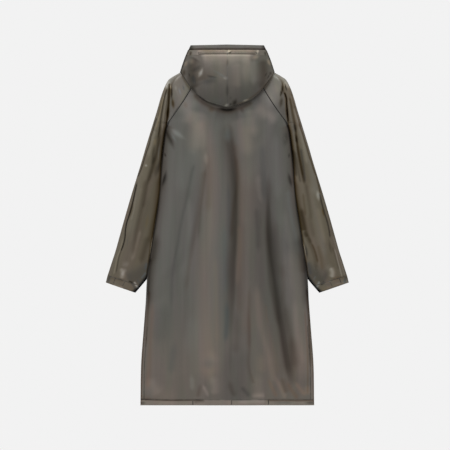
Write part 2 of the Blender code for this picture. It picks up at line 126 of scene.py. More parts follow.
@dataclass(frozen=True)
class Fold:
    """A fold, crease, dent or tint along a smooth line on a panel, in millimetres.

    Attributes:
        line: The points (x, y) that it runs through, upwards or else to the right.
        height: Its height. A trough is negative, and 0 only tints.
        left: Its half width on the left of the line, looking along it.
        right: Its half width on the right.
        fades: The lengths over which its start and its end die away. 0 ends it round and at full depth.
        shade: How much painted shade it lays on the film at its middle. Below 0 it paints light instead.
        warm: How much it brings out the film's brown at its middle.
        sharp: The power of its profile: 2 for a soft swell, 1.6 for a crease, 3 for a flat-topped band.
        rolls: Whether its right side falls ever more steeply and ends in a crease, as a wave does.
    """

    line: tuple[Point, ...]
    height: float
    left: float
    right: float
    fades: tuple[float, float]
    shade: float = 0.0
    warm: float = 0.0
    sharp: float = 2.0
    rolls: bool = False

    def path(self) -> tuple[Grid, Grid]:
        """Follows the line smoothly through its points.

        Returns:
            Close points (x, y) along it, and how far along it each one is.
        """
        knots = np.array(self.line, float)
        run = np.concatenate([[0.0], np.cumsum(np.hypot(*np.diff(knots, axis=0).T))])
        along = np.linspace(0.0, run[-1], STEPS_PER_KNOT * (len(knots) - 1) + 1)
        if len(knots) == 2:
            return between(knots[0], knots[1], (along / run[-1])[:, None]), along
        return np.stack([curve(run, knots[:, 0], along), curve(run, knots[:, 1], along)], 1), along

    def weight(self, x: Grid, y: Grid) -> Grid:
        """Works out the fold's profile over a panel.

        Args:
            x: The panel's points across, in metres.
            y: The panel's points along, in metres.

        Returns:
            1 on the line's middle, falling to 0 at the sides and the ends.
        """
        path, along = self.path()
        reach = REACH * max(self.left, self.right)
        low, high = path.min(0) - reach, path.max(0) + reach
        px, py = x / MM, y / MM
        close = (px > low[0]) & (px < high[0]) & (py > low[1]) & (py < high[1])
        weight = np.zeros(px.shape)
        px, py = px[close], py[close]
        nearest, side, place = np.full(px.shape, np.inf), np.zeros(px.shape), np.zeros(px.shape)
        for start, end, begin, stop in zip(path, path[1:], along, along[1:]):
            run = end - start
            share = np.clip(((px - start[0]) * run[0] + (py - start[1]) * run[1]) / (run @ run), 0.0, 1.0)
            dx, dy = px - start[0] - share * run[0], py - start[1] - share * run[1]
            distance = np.hypot(dx, dy)
            closer = distance < nearest
            nearest = np.where(closer, distance, nearest)
            side = np.where(closer, run[0] * dy - run[1] * dx, side)
            place = np.where(closer, begin + share * (stop - begin), place)
        ends = np.ones(px.shape)
        for fade, gone in zip(self.fades, (place, along[-1] - place)):
            if fade:
                ends *= smooth(gone / fade)
        narrowed = 1.0 if self.rolls else between(END_WIDTH, 1.0, ends)
        width = np.where(side > 0, self.left, self.right) * narrowed
        swell = np.exp(-((nearest / width) ** self.sharp))
        if self.rolls:
            swell = np.where(side > 0, swell, np.clip(1.0 - (nearest / self.right) ** 3, 0.0, 1.0))
        weight[close] = swell * ends
        return weight


@dataclass
class Relief:
    """What folds do to a panel's points: heights in metres, and two tints around 0 to 1, painted shade and
    warmth.
    """

    height: Grid
    shade: Grid
    warm: Grid

    @classmethod
    def of(cls, folds: tuple[Fold, ...], x: Grid, y: Grid) -> "Relief":
        """Adds up folds over a panel.

        Args:
            folds: The folds.
            x: The panel's points across, in metres.
            y: The panel's points along, in metres.

        Returns:
            The sum of the heights and warmth, and the shades laid over each other, at each point.
        """
        height, clear, warm = np.zeros(x.shape), np.ones(x.shape), np.zeros(x.shape)
        for fold in folds:
            weight = fold.weight(x, y)
            height += fold.height * MM * weight
            clear *= 1.0 - fold.shade * weight
            warm += fold.warm * weight
        return cls(height, 1.0 - clear, warm)

    def darken(self, shade: Grid | float) -> None:
        """Lays one more painted shade over the panel, or paints light where shade is negative."""
        self.shade = 1.0 - (1.0 - self.shade) * (1.0 - shade)


# The folds of each panel, in millimetres. A line runs from hem to hood, or else to the right. Each row
# gives the line, height, left and right half widths, fades, painted shade and warmth of one fold, as in Fold.
# Lines, heights and widths were set one by one, and a program left out points that a line can do without.
# Nearly all shades and warmths are the output of a fitting program, and a rule lengthened short fades.

BACK_FOLDS: tuple[Fold, ...] = (
    # the broad ridge left of the middle, which rolls over on its right
    Fold(((-48, -571), (-44, -413), (-36, -269), (-32, -125), (-30, 127), (-44, 235), (-66, 325),
          (-80, 387)), 9, 50, 62, (90, 110), -0.07, 0.05, rolls=True),
    # the ridge right of the middle
    Fold(((186, -571), (136, -269), (111, -125), (107, 1), (93, 127), (82, 235)),
         7.5, 40, 52, (80, 120), 0.16, 0.2, rolls=True),
    # the swell along the right side
    Fold(((273, -585), (273, -431), (237, -53)), 6, 40, 36, (80, 90), -0.23, 0.39),
    # shallow troughs on the left
    Fold(((-149, -269), (-141, -182), (-98, 73), (-80, 207)), -1.6, 11, 8, (70, 30), 0.17, 0.35),
    Fold(((-203, -341), (-190, -132), (-181, -89), (-159, 37), (-145, 91), (-132, 163), (-116, 225)),
         -1.2, 6, 8, (90, 20), 0.15, -0.09),
    # the pucker below the left underarm, with painted shade in it and painted light below it
    Fold(((-188, 261), (-195, 286), (-219, 336)), -2.2, 9, 8, (49, 0), 0.61, 0.44),
    Fold(((-141, 304), (-192, 338), (-213, 356)), 0.8, 9, 9, (50, 40), -0.69, -0.34),
    Fold(((-177, 293), (-193, 315), (-206, 340)), 0.5, 3.4, 3.4, (25, 25), -0.29, -0.53),
    Fold(((-219, 243), (-228, 264)), -1.2, 3, 3, (11, 11), 0.68, 0.04),
    Fold(((-239, 127), (-217, 207)), -1.8, 4, 9, (37, 37), 0.71, -0.06),
    Fold(((-216, 225), (-226, 250)), 0.8, 4, 4, (12, 12), -0.07, -0.15),
    # the pucker below the right underarm
    Fold(((201, 271), (213, 315), (215, 358)), -1.2, 12, 8, (40, 40), 0.33, -0.09),
    Fold(((220, 239), (224, 264)), -1, 3, 3, (11, 11), 0.56, 0.06),
    Fold(((214, 297), (202, 322)), 0.6, 3, 3, (13, 13), -0.27, 0.03),
    Fold(((235, 127), (217, 199)), -1.6, 7, 5, (33, 33), 0.62, 0.12),
    # small diagonal wrinkles at the hem
    Fold(((-109, -625), (-102, -596), (-91, -564)), -1, 7, 8, (14, 22), 0.22, 0.24),
    Fold(((-66, -621), (-77, -596), (-91, -571)), 0.8, 6, 6, (16, 16), -0.44, 0.09),
    Fold(((31, -621), (13, -589), (6, -549)), -1.2, 8, 12, (16, 30), 0.26, 0.23),
    Fold(((82, -621), (67, -600), (46, -578)), -1, 8, 9, (14, 16), 0.27, -0.23),
    Fold(((96, -571), (78, -506), (82, -431), (75, -269)), -1.2, 8, 5, (6, 90), 0.18, 0.32),
    Fold(((179, -621), (161, -585), (143, -542)), -0.8, 6, 7, (10, 30), 0.05, 1.11),
    Fold(((211, -625), (172, -542)), 0.8, 8, 8, (10, 30), -0.18, 0.62),
    Fold(((255, -625), (229, -589), (211, -553)), -0.8, 8, 8, (10, 30), 0.16, 1.2),
    Fold(((287, -618), (265, -593), (240, -557)), 0.8, 8, 8, (20, 24), -0.11, 1),
    Fold(((148, -355), (141, -319), (140, -283)), -0.6, 3, 3, (10, 10), 0.04, 0.56),
    Fold(((123, -24), (121, 45)), -0.5, 2.5, 2.5, (31, 31), 0.09, 0.1),
)

BACK_TINTS: tuple[Fold, ...] = (
    # painted shade on the roll's dark side, and on the one right of it
    Fold(((3, -456), (12, -369), (19, -233), (21, -132), (26, -71), (31, 127), (19, 271), (11, 329),
          (6, 379)), 0, 26, 12, (300, 50), 0.5, 0.62),
    Fold(((-204, 383), (-167, 439)), 0, 3, 3, (30, 30), 0.42, 0.16),
    Fold(((8, -74), (7, 48), (3, 171)), 0, 9, 9, (60, 60), 0.08, -0.39),
    Fold(((234, -593), (235, -492), (229, -384)), 0, 16, 16, (40, 50), 0.23, 0.41),
    Fold(((228, -578), (211, -488), (162, -146), (154, -89), (138, 156)),
         0, 10.5, 26, (80, 230), 0.56, 0.42),
    Fold(((249, -528), (239, -456), (213, -326), (204, -261)), 0, 12, 14, (40, 60), 0.23, 0.22),
    Fold(((197, -215), (190, -132), (179, -53), (172, 37)), 0, 20, 16, (60, 60), 0.17, 0.23),
    Fold(((190, -387), (167, -269), (156, -211), (149, -132), (144, -53), (150, 127), (147, 199)),
         0, 9, 12, (60, 70), 0.3, 0.26),
    Fold(((186, -542), (165, -449), (141, -359), (125, -254)), 0, 9, 9, (30, 60), -0.03, 0.32),
    Fold(((175, -575), (154, -485), (125, -377), (103, -197)), 0, 14, 12, (30, 60), -0.19, 0.45),
    Fold(((276, -506), (247, -348), (240, -261)), 0, 12, 12, (30, 40), -0.11, 0.15),
    Fold(((31, -636), (35, -521), (46, -377)), 0, 50, 50, (10, 120), 0.2, -0.37, sharp=3),
    # brown bands, where air parts the layers, with painted shade and painted light over the folds
    Fold(((-66, -575), (-69, -431), (-77, -305), (-77, -107), (-59, 1), (-51, 109), (-55, 217), (-77, 307),
          (-105, 387)), 0, 34, 28, (60, 30), -0.1, 0.65),
    Fold(((67, -413), (67, -269), (60, -125), (60, 1), (67, 127), (67, 235), (60, 379)),
         0, 24, 40, (60, 40), -0.06, 0.45),
    Fold(((53, -431), (49, -269), (48, 37)), 0, 22, 26, (60, 60), 0.13, -0.02),
    Fold(((39, -341), (42, -132), (46, 1), (46, 127), (24, 307)), 0, 10, 14, (60, 30), 0.14, 0.6),
    Fold(((112, -107), (109, -17), (103, 73)), 0, 10, 12, (40, 30), 0.21, -0.07),
    Fold(((132, 73), (125, 307)), 0, 14, 12, (40, 40), 0.1, -0.26),
    Fold(((-69, 37), (-66, 163), (-73, 271)), 0, 14, 14, (40, 40), 0.14, 0.43),
    Fold(((-107, -63), (-90, 99), (-82, 163), (-78, 214)), 0, 5, 6, (50, 30), 0.2, 0.21),
    Fold(((13, -74), (24, 70), (34, 135), (35, 199), (26, 264)), 0, 8, 8, (60, 40), 0.23, 0.61),
    Fold(((31, -470), (33, -384), (31, -290)), 0, 14, 12, (30, 60), 0.2, 0.19),
    Fold(((76, -456), (80, -204)), 0, 8, 8, (40, 60), 0.17, 0.38),
    Fold(((-8, -431), (-1, -341), (-3, -251)), 0, 9, 9, (40, 60), 0.13, -0.84),
    Fold(((-249, -449), (-239, -359), (-224, -261)), 0, 26, 30, (60, 60), 0.13, -0.14),
    Fold(((-206, -549), (-185, -398)), 0, 14, 14, (40, 60), 0.11, -0.4),
    Fold(((-156, -431), (-152, -323), (-145, -215)), 0, 9, 9, (60, 60), 0.08, 0.07),
    Fold(((-66, -528), (-66, -456)), 0, 20, 20, (30, 40), 0.14, -0.72),
    Fold(((-157, -225), (-147, -132), (-139, 55), (-147, 127)), 0, 14, 14, (70, 70), -0.19, -0.08),
    Fold(((-152, 91), (-156, 171), (-141, 235), (-120, 286)), 0, 28, 32, (70, 30), -0.16, -0.11),
    Fold(((-35, -449), (-39, -323), (-41, -197), (-46, -89)), 0, 10, 10, (60, 60), -0.04, 0.49),
    Fold(((-75, 207), (-78, 271)), 0, 7, 8, (30, 29), -0.41, -0.03),
    Fold(((3, 286), (3, 365)), 0, 14, 14, (36, 36), -0.58, -0.99),
    Fold(((82, 235), (67, 307), (46, 394)), 0, 30, 32, (50, 20), -0.24, 0.32),
    Fold(((183, 73), (173, 351)), 0, 16, 14, (60, 60), -0.19, -0.08),
    Fold(((183, 365), (132, 408), (89, 430)), 0, 26, 26, (30, 30), -0.49, 0.37),
    Fold(((103, 307), (93, 365), (78, 423)), 0, 18, 18, (40, 16), -0.31, 0.33),
    Fold(((147, 351), (139, 401)), 0, 16, 16, (24, 24), 0.15, -0.14),
    Fold(((-170, 365), (-134, 387), (-98, 415)), 0, 22, 26, (40, 40), -0.35, 0.52),
    Fold(((-123, 243), (-120, 300), (-109, 358), (-87, 415)), 0, 28, 28, (50, 24), -0.34, 0.38),
    Fold(((125, 73), (114, 127), (111, 192)), 0, 9, 10, (30, 30), -0.26, 0.13),
    Fold(((264, -114), (237, 5), (224, 70), (219, 135)), 0, 8, 9, (30, 20), -0.19, -0.32),
    Fold(((-270, -132), (-262, -74), (-248, -2), (-230, 135)), 0, 6, 6, (30, 20), -0.14, -0.23),
    Fold(((33, -233), (41, -38), (37, 12)), 0, 8, 12, (50, 30), -0.13, 0.5),
    Fold(((165, -117), (167, -60), (162, -9)), 0, 8, 8, (40, 20), 0.02, -0.14),
    Fold(((193, -312), (201, -215), (193, -125)), 0, 10, 10, (50, 50), 0.11, 0.25),
    Fold(((229, -89), (215, -9), (204, 70)), 0, 14, 14, (50, 50), -0.15, 0.05),
    Fold(((-289, -542), (-242, -614)), 0, 20, 24, (30, 20), -0.28, -0.01),
    Fold(((-48, -614), (-48, -571), (-55, -535)), 0, 16, 18, (16, 30), -0.29, 0.11),
    Fold(((118, -621), (111, -571), (118, -521)), 0, 18, 18, (10, 40), -0.16, 0.13),
    Fold(((125, -542), (121, -449)), 0, 18, 18, (30, 40), -0.09, 0.46),
    Fold(((-125, -600), (-129, -528)), 0, 8, 8, (20, 30), -0.3, -0.23),
    Fold(((291, -614), (287, -571)), 0, 12, 12, (10, 16), -0.14, 0.81),
    Fold(((211, -607), (193, -542)), 0, 8, 12, (10, 20), 0.27, 0.67),
    Fold(((-98, -614), (-109, -585)), 0, 10, 10, (4, 14), 0.03, 0.14),
    Fold(((-287, -600), (-269, -254)), 0, 10, 10, (30, 60), 0.11, 0.98),
    Fold(((-294, -456), (-285, -297), (-280, -233)), 0, 4.4, 4.4, (50, 10), 0.37, 1.2),
    Fold(((-288, -269), (-285, -218), (-275, -110)), 0, 5, 5, (30, 16), 0.64, 0.53),
    Fold(((289, -269), (281, -161), (275, -110)), 0, 5, 5, (30, 16), 0.35, -0.21),
    Fold(((300, -528), (291, -305), (286, -225)), 0, 4.4, 4.4, (50, 10), 0.57, 0.99),
    Fold(((-5, -269), (-10, 19)), 0, 12, 12, (60, 60), -0.04, -0.49),
    Fold(((-314, -593), (312, -593)), 0, 230, 90, (0, 0), -0.07, 0.66, sharp=2.4),
    Fold(((-134, -485), (-123, -305)), 0, 26, 26, (60, 60), -0.09, -0.14),
    Fold(((-59, -585), (-55, -431)), 0, 22, 20, (40, 60), -0.2, 0.12),
    Fold(((-278, -614), (-170, -614)), 0, 30, 30, (20, 40), -0.06, 0.35),
    # painted light on the shoulders of the yoke
    Fold(((-127, 387), (-170, 495), (-192, 574)), 0, 34, 34, (50, 0), -0.53, 0.22),
    Fold(((139, 415), (172, 487), (197, 574)), 0, 34, 34, (50, 0), -0.74, 0.07),
    Fold(((-145, 415), (-156, 451)), 0, 7, 8, (17, 17), 0.17, 0.63),
    Fold(((-165, 462), (-177, 502)), 0.5, 3, 3, (19, 19), -0.19, -0.75),
    Fold(((-174, 459), (-185, 495)), 0, 3, 3, (17, 17), -0.12, -0.11),
    Fold(((-154, 480), (-161, 509)), 0, 3, 3, (13, 13), 0.33, -0.51),
    Fold(((-193, 408), (-195, 444), (-193, 473)), 0.5, 4, 4, (29, 29), 0.13, 0.48),
    # the shadow that the hood throws
    Fold(((-163, 538), (-133, 489), (-98, 459), (-33, 428), (0, 421), (33, 428), (98, 459), (133, 489),
          (163, 538)), 0, 4, 3.4, (0, 0), 0.37, 0.62),
    Fold(((-127, 477), (-98, 450), (-26, 415), (0, 410), (33, 418), (67, 431), (96, 448)),
         0, 7, 9, (20, 20), 0.52, 1.14),
    Fold(((-73, 423), (-59, 417), (-41, 415)), 0, 7, 9, (15, 15), 0.31, 1.2),
    Fold(((42, 410), (64, 419)), 0, 7, 10, (11, 11), 0.35, 0.48),
    Fold(((-48, 412), (3, 403), (46, 410)), 0, 8, 24, (14, 14), 0.26, 0.07),
    Fold(((-48, 424), (-23, 419), (0, 415), (21, 418), (46, 428)), 0, 5, 6, (36, 36), 0.9, 0, sharp=2.5),
    # the hem's weld, and the band's darker ends
    Fold(((-311, -626), (-213, -629), (-77, -628)), 0, 3, 3, (0, 20), 0.76, 0.79),
    Fold(((-307, -618), (-271, -624)), 0, 8, 8, (0, 12), 0.14, 0.6),
    Fold(((132, -629), (311, -630)), 0, 4, 4, (20, 0), 0.55, 1.04),
    Fold(((273, -639), (314, -639)), 0, 5, 4, (24, 0), 0.5, 0, sharp=2.5),
    Fold(((161, -638), (247, -638)), 0, 4, 4, (30, 30), 0.21, -0.37),
    Fold(((31, -634), (139, -634)), 0, 6, 6, (20, 10), -0.26, -0.2),
    Fold(((82, -614), (139, -614)), 0, 10, 8, (16, 10), -0.39, 0.16),
    Fold(((-123, -638), (-102, -632), (-77, -632)), 0, 6, 6, (10, 10), 0.36, 0.22),
    Fold(((-316, -639), (-289, -639)), 0, 6, 6, (0, 16), 0.5, 0, sharp=2.5),
    # painted shade: the black line along the edge over the sleeves
    Fold(((-235, 149), (-233, 199), (-226, 286), (-217, 358)), 0, 4.4, 4.4, (10, 6), -0.09, -0.15),
    Fold(((237, 142), (224, 329), (220, 358)), 0, 4.4, 4.4, (10, 6), 0.23, 0.47),
    # painted shade on the sides, which turn under beside the sleeves
    Fold(((-283, -161), (-260, 1), (-241, 127), (-234, 243), (-226, 315), (-213, 365)),
         0, 6, 18, (50, 10), 0.49, 0.75),
    Fold(((282, -179), (273, -89), (244, 127), (236, 243), (226, 315), (215, 365)),
         0, 20, 6, (20, 10), 0.32, 0.61),
    Fold(((-293, -341), (-264, -81), (-253, -17)), 0, 5, 17, (90, 50), 0.49, 0.42),
    Fold(((294, -341), (291, -261), (285, -207), (260, -17)), 0, 20, 5, (90, 50), 0.52, 0.17),
    Fold(((-312, -643), (-303, -427), (-291, -269)), 0, 3, 3.4, (0, 60), 0.54, 1.2),
    Fold(((312, -643), (310, -549), (294, -269)), 0, 3.4, 3, (0, 60), 0.47, 0.95),
    Fold(((289, -614), (289, -485), (278, -287)), 0.4, 3, 3, (20, 40), 0.21, 0.98),
    # painted highlights along the shoulders' tops
    Fold(((-205, 513), (-194, 529), (-181, 540), (-163, 549)), 0, 6, 6, (25, 25), -4, -0.64),
    Fold(((165, 549), (195, 529), (206, 513)), 0, 6, 6, (25, 25), -4, -0.45),
    Fold(((177, 466), (181, 495), (186, 516)), 0, 14, 12, (23, 23), -0.1, 0.09),
    Fold(((-185, 480), (-186, 509)), 0, 4, 4, (13, 13), -0.39, -0.16),
)

LEFT_FOLDS: tuple[Fold, ...] = (
    # the crease from the underarm to the shoulder's tip and one beside it, with painted shade and highlights
    Fold(((-219, 365), (-213, 419), (-208, 513)), -0.8, 4, 3.6, (0, 6), 0.8, 1.07, sharp=2.4),
    Fold(((-196, 437), (-200, 459), (-200, 487), (-201, 518)),
         -0.6, 3.4, 3.4, (37, 37), 0.9, 0.6, sharp=2.5),
    Fold(((-192, 415), (-200, 462)), 0, 5, 6, (21, 21), 0.64, 1.16),
    Fold(((-214, 372), (-214, 408), (-211, 437)), 0, 5, 5, (29, 29), 0.79, 1.2),
    Fold(((-223, 484), (-201, 522), (-185, 538), (-163, 549)), 0, 9, 9, (22, 0), -1.2, -0.63),
    Fold(((-208, 459), (-204, 484), (-203, 513)), 0, 2.4, 2.4, (24, 24), -0.01, 0.47),
    Fold(((-204, 487), (-204, 509)), 0.4, 2, 2, (10, 10), -1.83, -0.14),
    # pleats that meet at the shoulder's tip, with painted shade and painted light
    Fold(((-251, 307), (-244, 343), (-235, 405), (-223, 469), (-215, 495)),
         -1.4, 3.2, 3.2, (26, 10), 0.62, 0.28),
    Fold(((-252, 383), (-244, 415), (-237, 448), (-228, 477), (-219, 498)),
         -1, 2.6, 2.6, (14, 10), 0.32, 0.38),
    Fold(((-234, 336), (-225, 415), (-215, 477)), 1, 3, 3, (16, 12), -0.41, -0.11),
    Fold(((-259, 340), (-249, 372), (-234, 441), (-226, 469)), 0.8, 3.2, 3.2, (16, 14), -0.31, 0.44),
    Fold(((-286, 235), (-258, 343)), 0.8, 8, 7, (24, 16), -0.24, -0.1),
    Fold(((-248, 225), (-247, 264), (-240, 307)), 0.8, 2.8, 2.8, (37, 37), -0.41, -0.71),
    # the trough above the elbow, with painted shade
    Fold(((-287, 138), (-278, 174), (-250, 275), (-242, 340)), -2, 8, 8, (40, 24), 0.56, 0.37),
    Fold(((-273, 228), (-259, 300)), 0, 5, 5, (33, 33), 0.45, 0.12),
    Fold(((-251, 178), (-242, 250)), 0, 4, 4, (33, 33), 0.46, -0.14),
    Fold(((-244, 315), (-239, 372)), 0, 5, 4, (26, 26), 0.44, 0.35),
    Fold(((-273, 163), (-267, 192)), 0, 3.6, 3.6, (10, 10), -0.04, -0.23),
    Fold(((-262, 286), (-258, 315)), 0, 5, 5, (8, 8), -0.14, 0.38),
    Fold(((-273, 207), (-260, 264)), 0, 6, 6, (27, 27), 0.48, 0.07),
    Fold(((-260, 163), (-249, 235)), 0, 8, 8, (33, 33), 0.39, 0.07),
    # painted light along the outer strip
    Fold(((-248, 423), (-224, 495), (-208, 520)), 0, 7, 7, (16, 4), -0.32, -0.08),
    # the elbow's small highlight
    Fold(((-300, 216), (-284, 213)), 0.8, 3.5, 3.5, (7, 7), -1.05, -0.58),
    # the long trough down the forearm and the bands beside it
    Fold(((-343, -132), (-334, -89), (-328, -45), (-310, 41), (-289, 171)),
         -2.2, 9, 9, (50, 24), 0.28, 0.19),
    Fold(((-348, -74), (-340, -24), (-306, 142)), 0, 5, 5, (30, 16), -0.1, 0.01),
    Fold(((-314, -146), (-282, -31)), 0, 12, 12, (30, 24), 0.36, 0.13),
    Fold(((-345, -132), (-311, -13)), 0, 6, 6, (20, 16), -0.37, -0.15),
    Fold(((-305, 55), (-296, 99), (-283, 178)), 0, 5, 6, (20, 16), 0.28, 0.1),
    Fold(((-295, -24), (-283, 48)), 0, 5, 5, (33, 33), -0.02, 0.46),
    Fold(((-352, -53), (-338, 34), (-311, 163)), 0.8, 8, 8, (40, 40), -0.07, -0.13),
    Fold(((-329, -89), (-303, 27), (-291, 77), (-284, 120)), 0.6, 9, 9, (50, 40), 0.12, 0.01),
    # painted shade on the inner side, under the body's edge, and a painted highlight
    Fold(((-284, -89), (-269, -2), (-259, 48), (-242, 192)), 0, 10, 9, (60, 40), 0.4, 0.56),
    Fold(((-280, -117), (-273, -74), (-267, -31)), 0.5, 2.2, 2.2, (39, 39), -4, -0.46),
    # the crease inside the outer fold
    Fold(((-324, 171), (-314, 192), (-289, 268), (-280, 293), (-275, 318), (-267, 343), (-260, 369),
          (-252, 390)), -0.6, 2.4, 2.4, (10, 10), 0.71, 0.01),
    Fold(((-382, -92), (-374, -71), (-368, -45), (-366, -17), (-361, 12), (-353, 36), (-338, 91),
          (-332, 120), (-323, 160)), -1.2, 2.7, 2.7, (4, 20), 0.91, -0.12, sharp=2.2),
    Fold(((-401, -179), (-393, -132), (-389, -112), (-381, -90)), 0, 2.6, 2.6, (20, 0), 0.45, 0, sharp=2.5),
    Fold(((-356, 12), (-342, 70), (-337, 99)), 0, 4.4, 4.4, (40, 40), 0.49, 0.57),
    Fold(((-409, -179), (-403, -153), (-395, -114), (-388, -96), (-373, -38)),
         0.6, 2.4, 2.4, (8, 24), -0.38, 0, sharp=2.5),
    Fold(((-364, -89), (-359, -53), (-357, -20)), 0.4, 2.4, 2.4, (31, 31), 0.07, -0.29),
    Fold(((-347, 12), (-337, 45), (-329, 109)), 0.6, 4, 4, (10, 16), -0.11, -0.05),
    # painted light above the cuff
    Fold(((-383, -146), (-347, -135)), 0, 10, 8, (14, 18), -0.35, -0.22),
    Fold(((-381, -193), (-377, -171), (-383, -150)), 0, 7, 8, (6, 10), -0.94, -0.32),
    Fold(((-415, -215), (-372, -225)), 0, 3.4, 3.4, (6, 6), -0.89, 0),
    Fold(((-431, -187), (-401, -192), (-365, -203)), 0, 5, 5, (0, 16), 0.22, 0.18),
    Fold(((-434, -202), (-411, -206), (-386, -213)), 0, 3, 3, (0, 14), -0.03, -0.18),
    Fold(((-357, -202), (-339, -206)), 0, 3.4, 3.4, (4, 4), 0.78, 0.53),
    Fold(((-380, -182), (-370, -164), (-359, -157)), 0, 6, 6, (6, 8), -0.36, -0.23),
    # the cuff's cool inner corner, with painted shade and painted highlights on its creases
    Fold(((-365, -197), (-329, -180), (-289, -157)), 0.6, 26, 30, (16, 0), 0.26, -0.38, sharp=2.6),
    Fold(((-311, -193), (-291, -168)), 0.5, 3.4, 3.4, (6, 6), -0.19, -1),
    Fold(((-336, -202), (-319, -229)), 0.4, 2.6, 2.6, (4, 4), -2.64, -0.79),
    Fold(((-344, -204), (-331, -231)), 0, 2.4, 2.4, (3, 3), 0.28, -0.61),
    Fold(((-325, -193), (-312, -215)), 0, 2.4, 2.4, (3, 3), 0.09, -0.75),
    Fold(((-296, -161), (-289, -132)), 0, 5, 5, (6, 8), -0.04, -0.82),
    Fold(((-337, -242), (-324, -231), (-286, -184)), 0, 8.4, 8.4, (0, 0), 0.98, -0.6, sharp=2.5),
    Fold(((-282, -197), (-283, -153)), 0, 6, 6, (0, 8), 0.55, -0.76),
    # the cuff's turned edge
    Fold(((-433, -204), (-350, -233), (-336, -240)), 0, 2.6, 2.6, (0, 0), 0.04, 0.09),
    Fold(((-428, -200), (-422, -180)), 0, 4, 4, (0, 6), 0.41, -0.74),
)

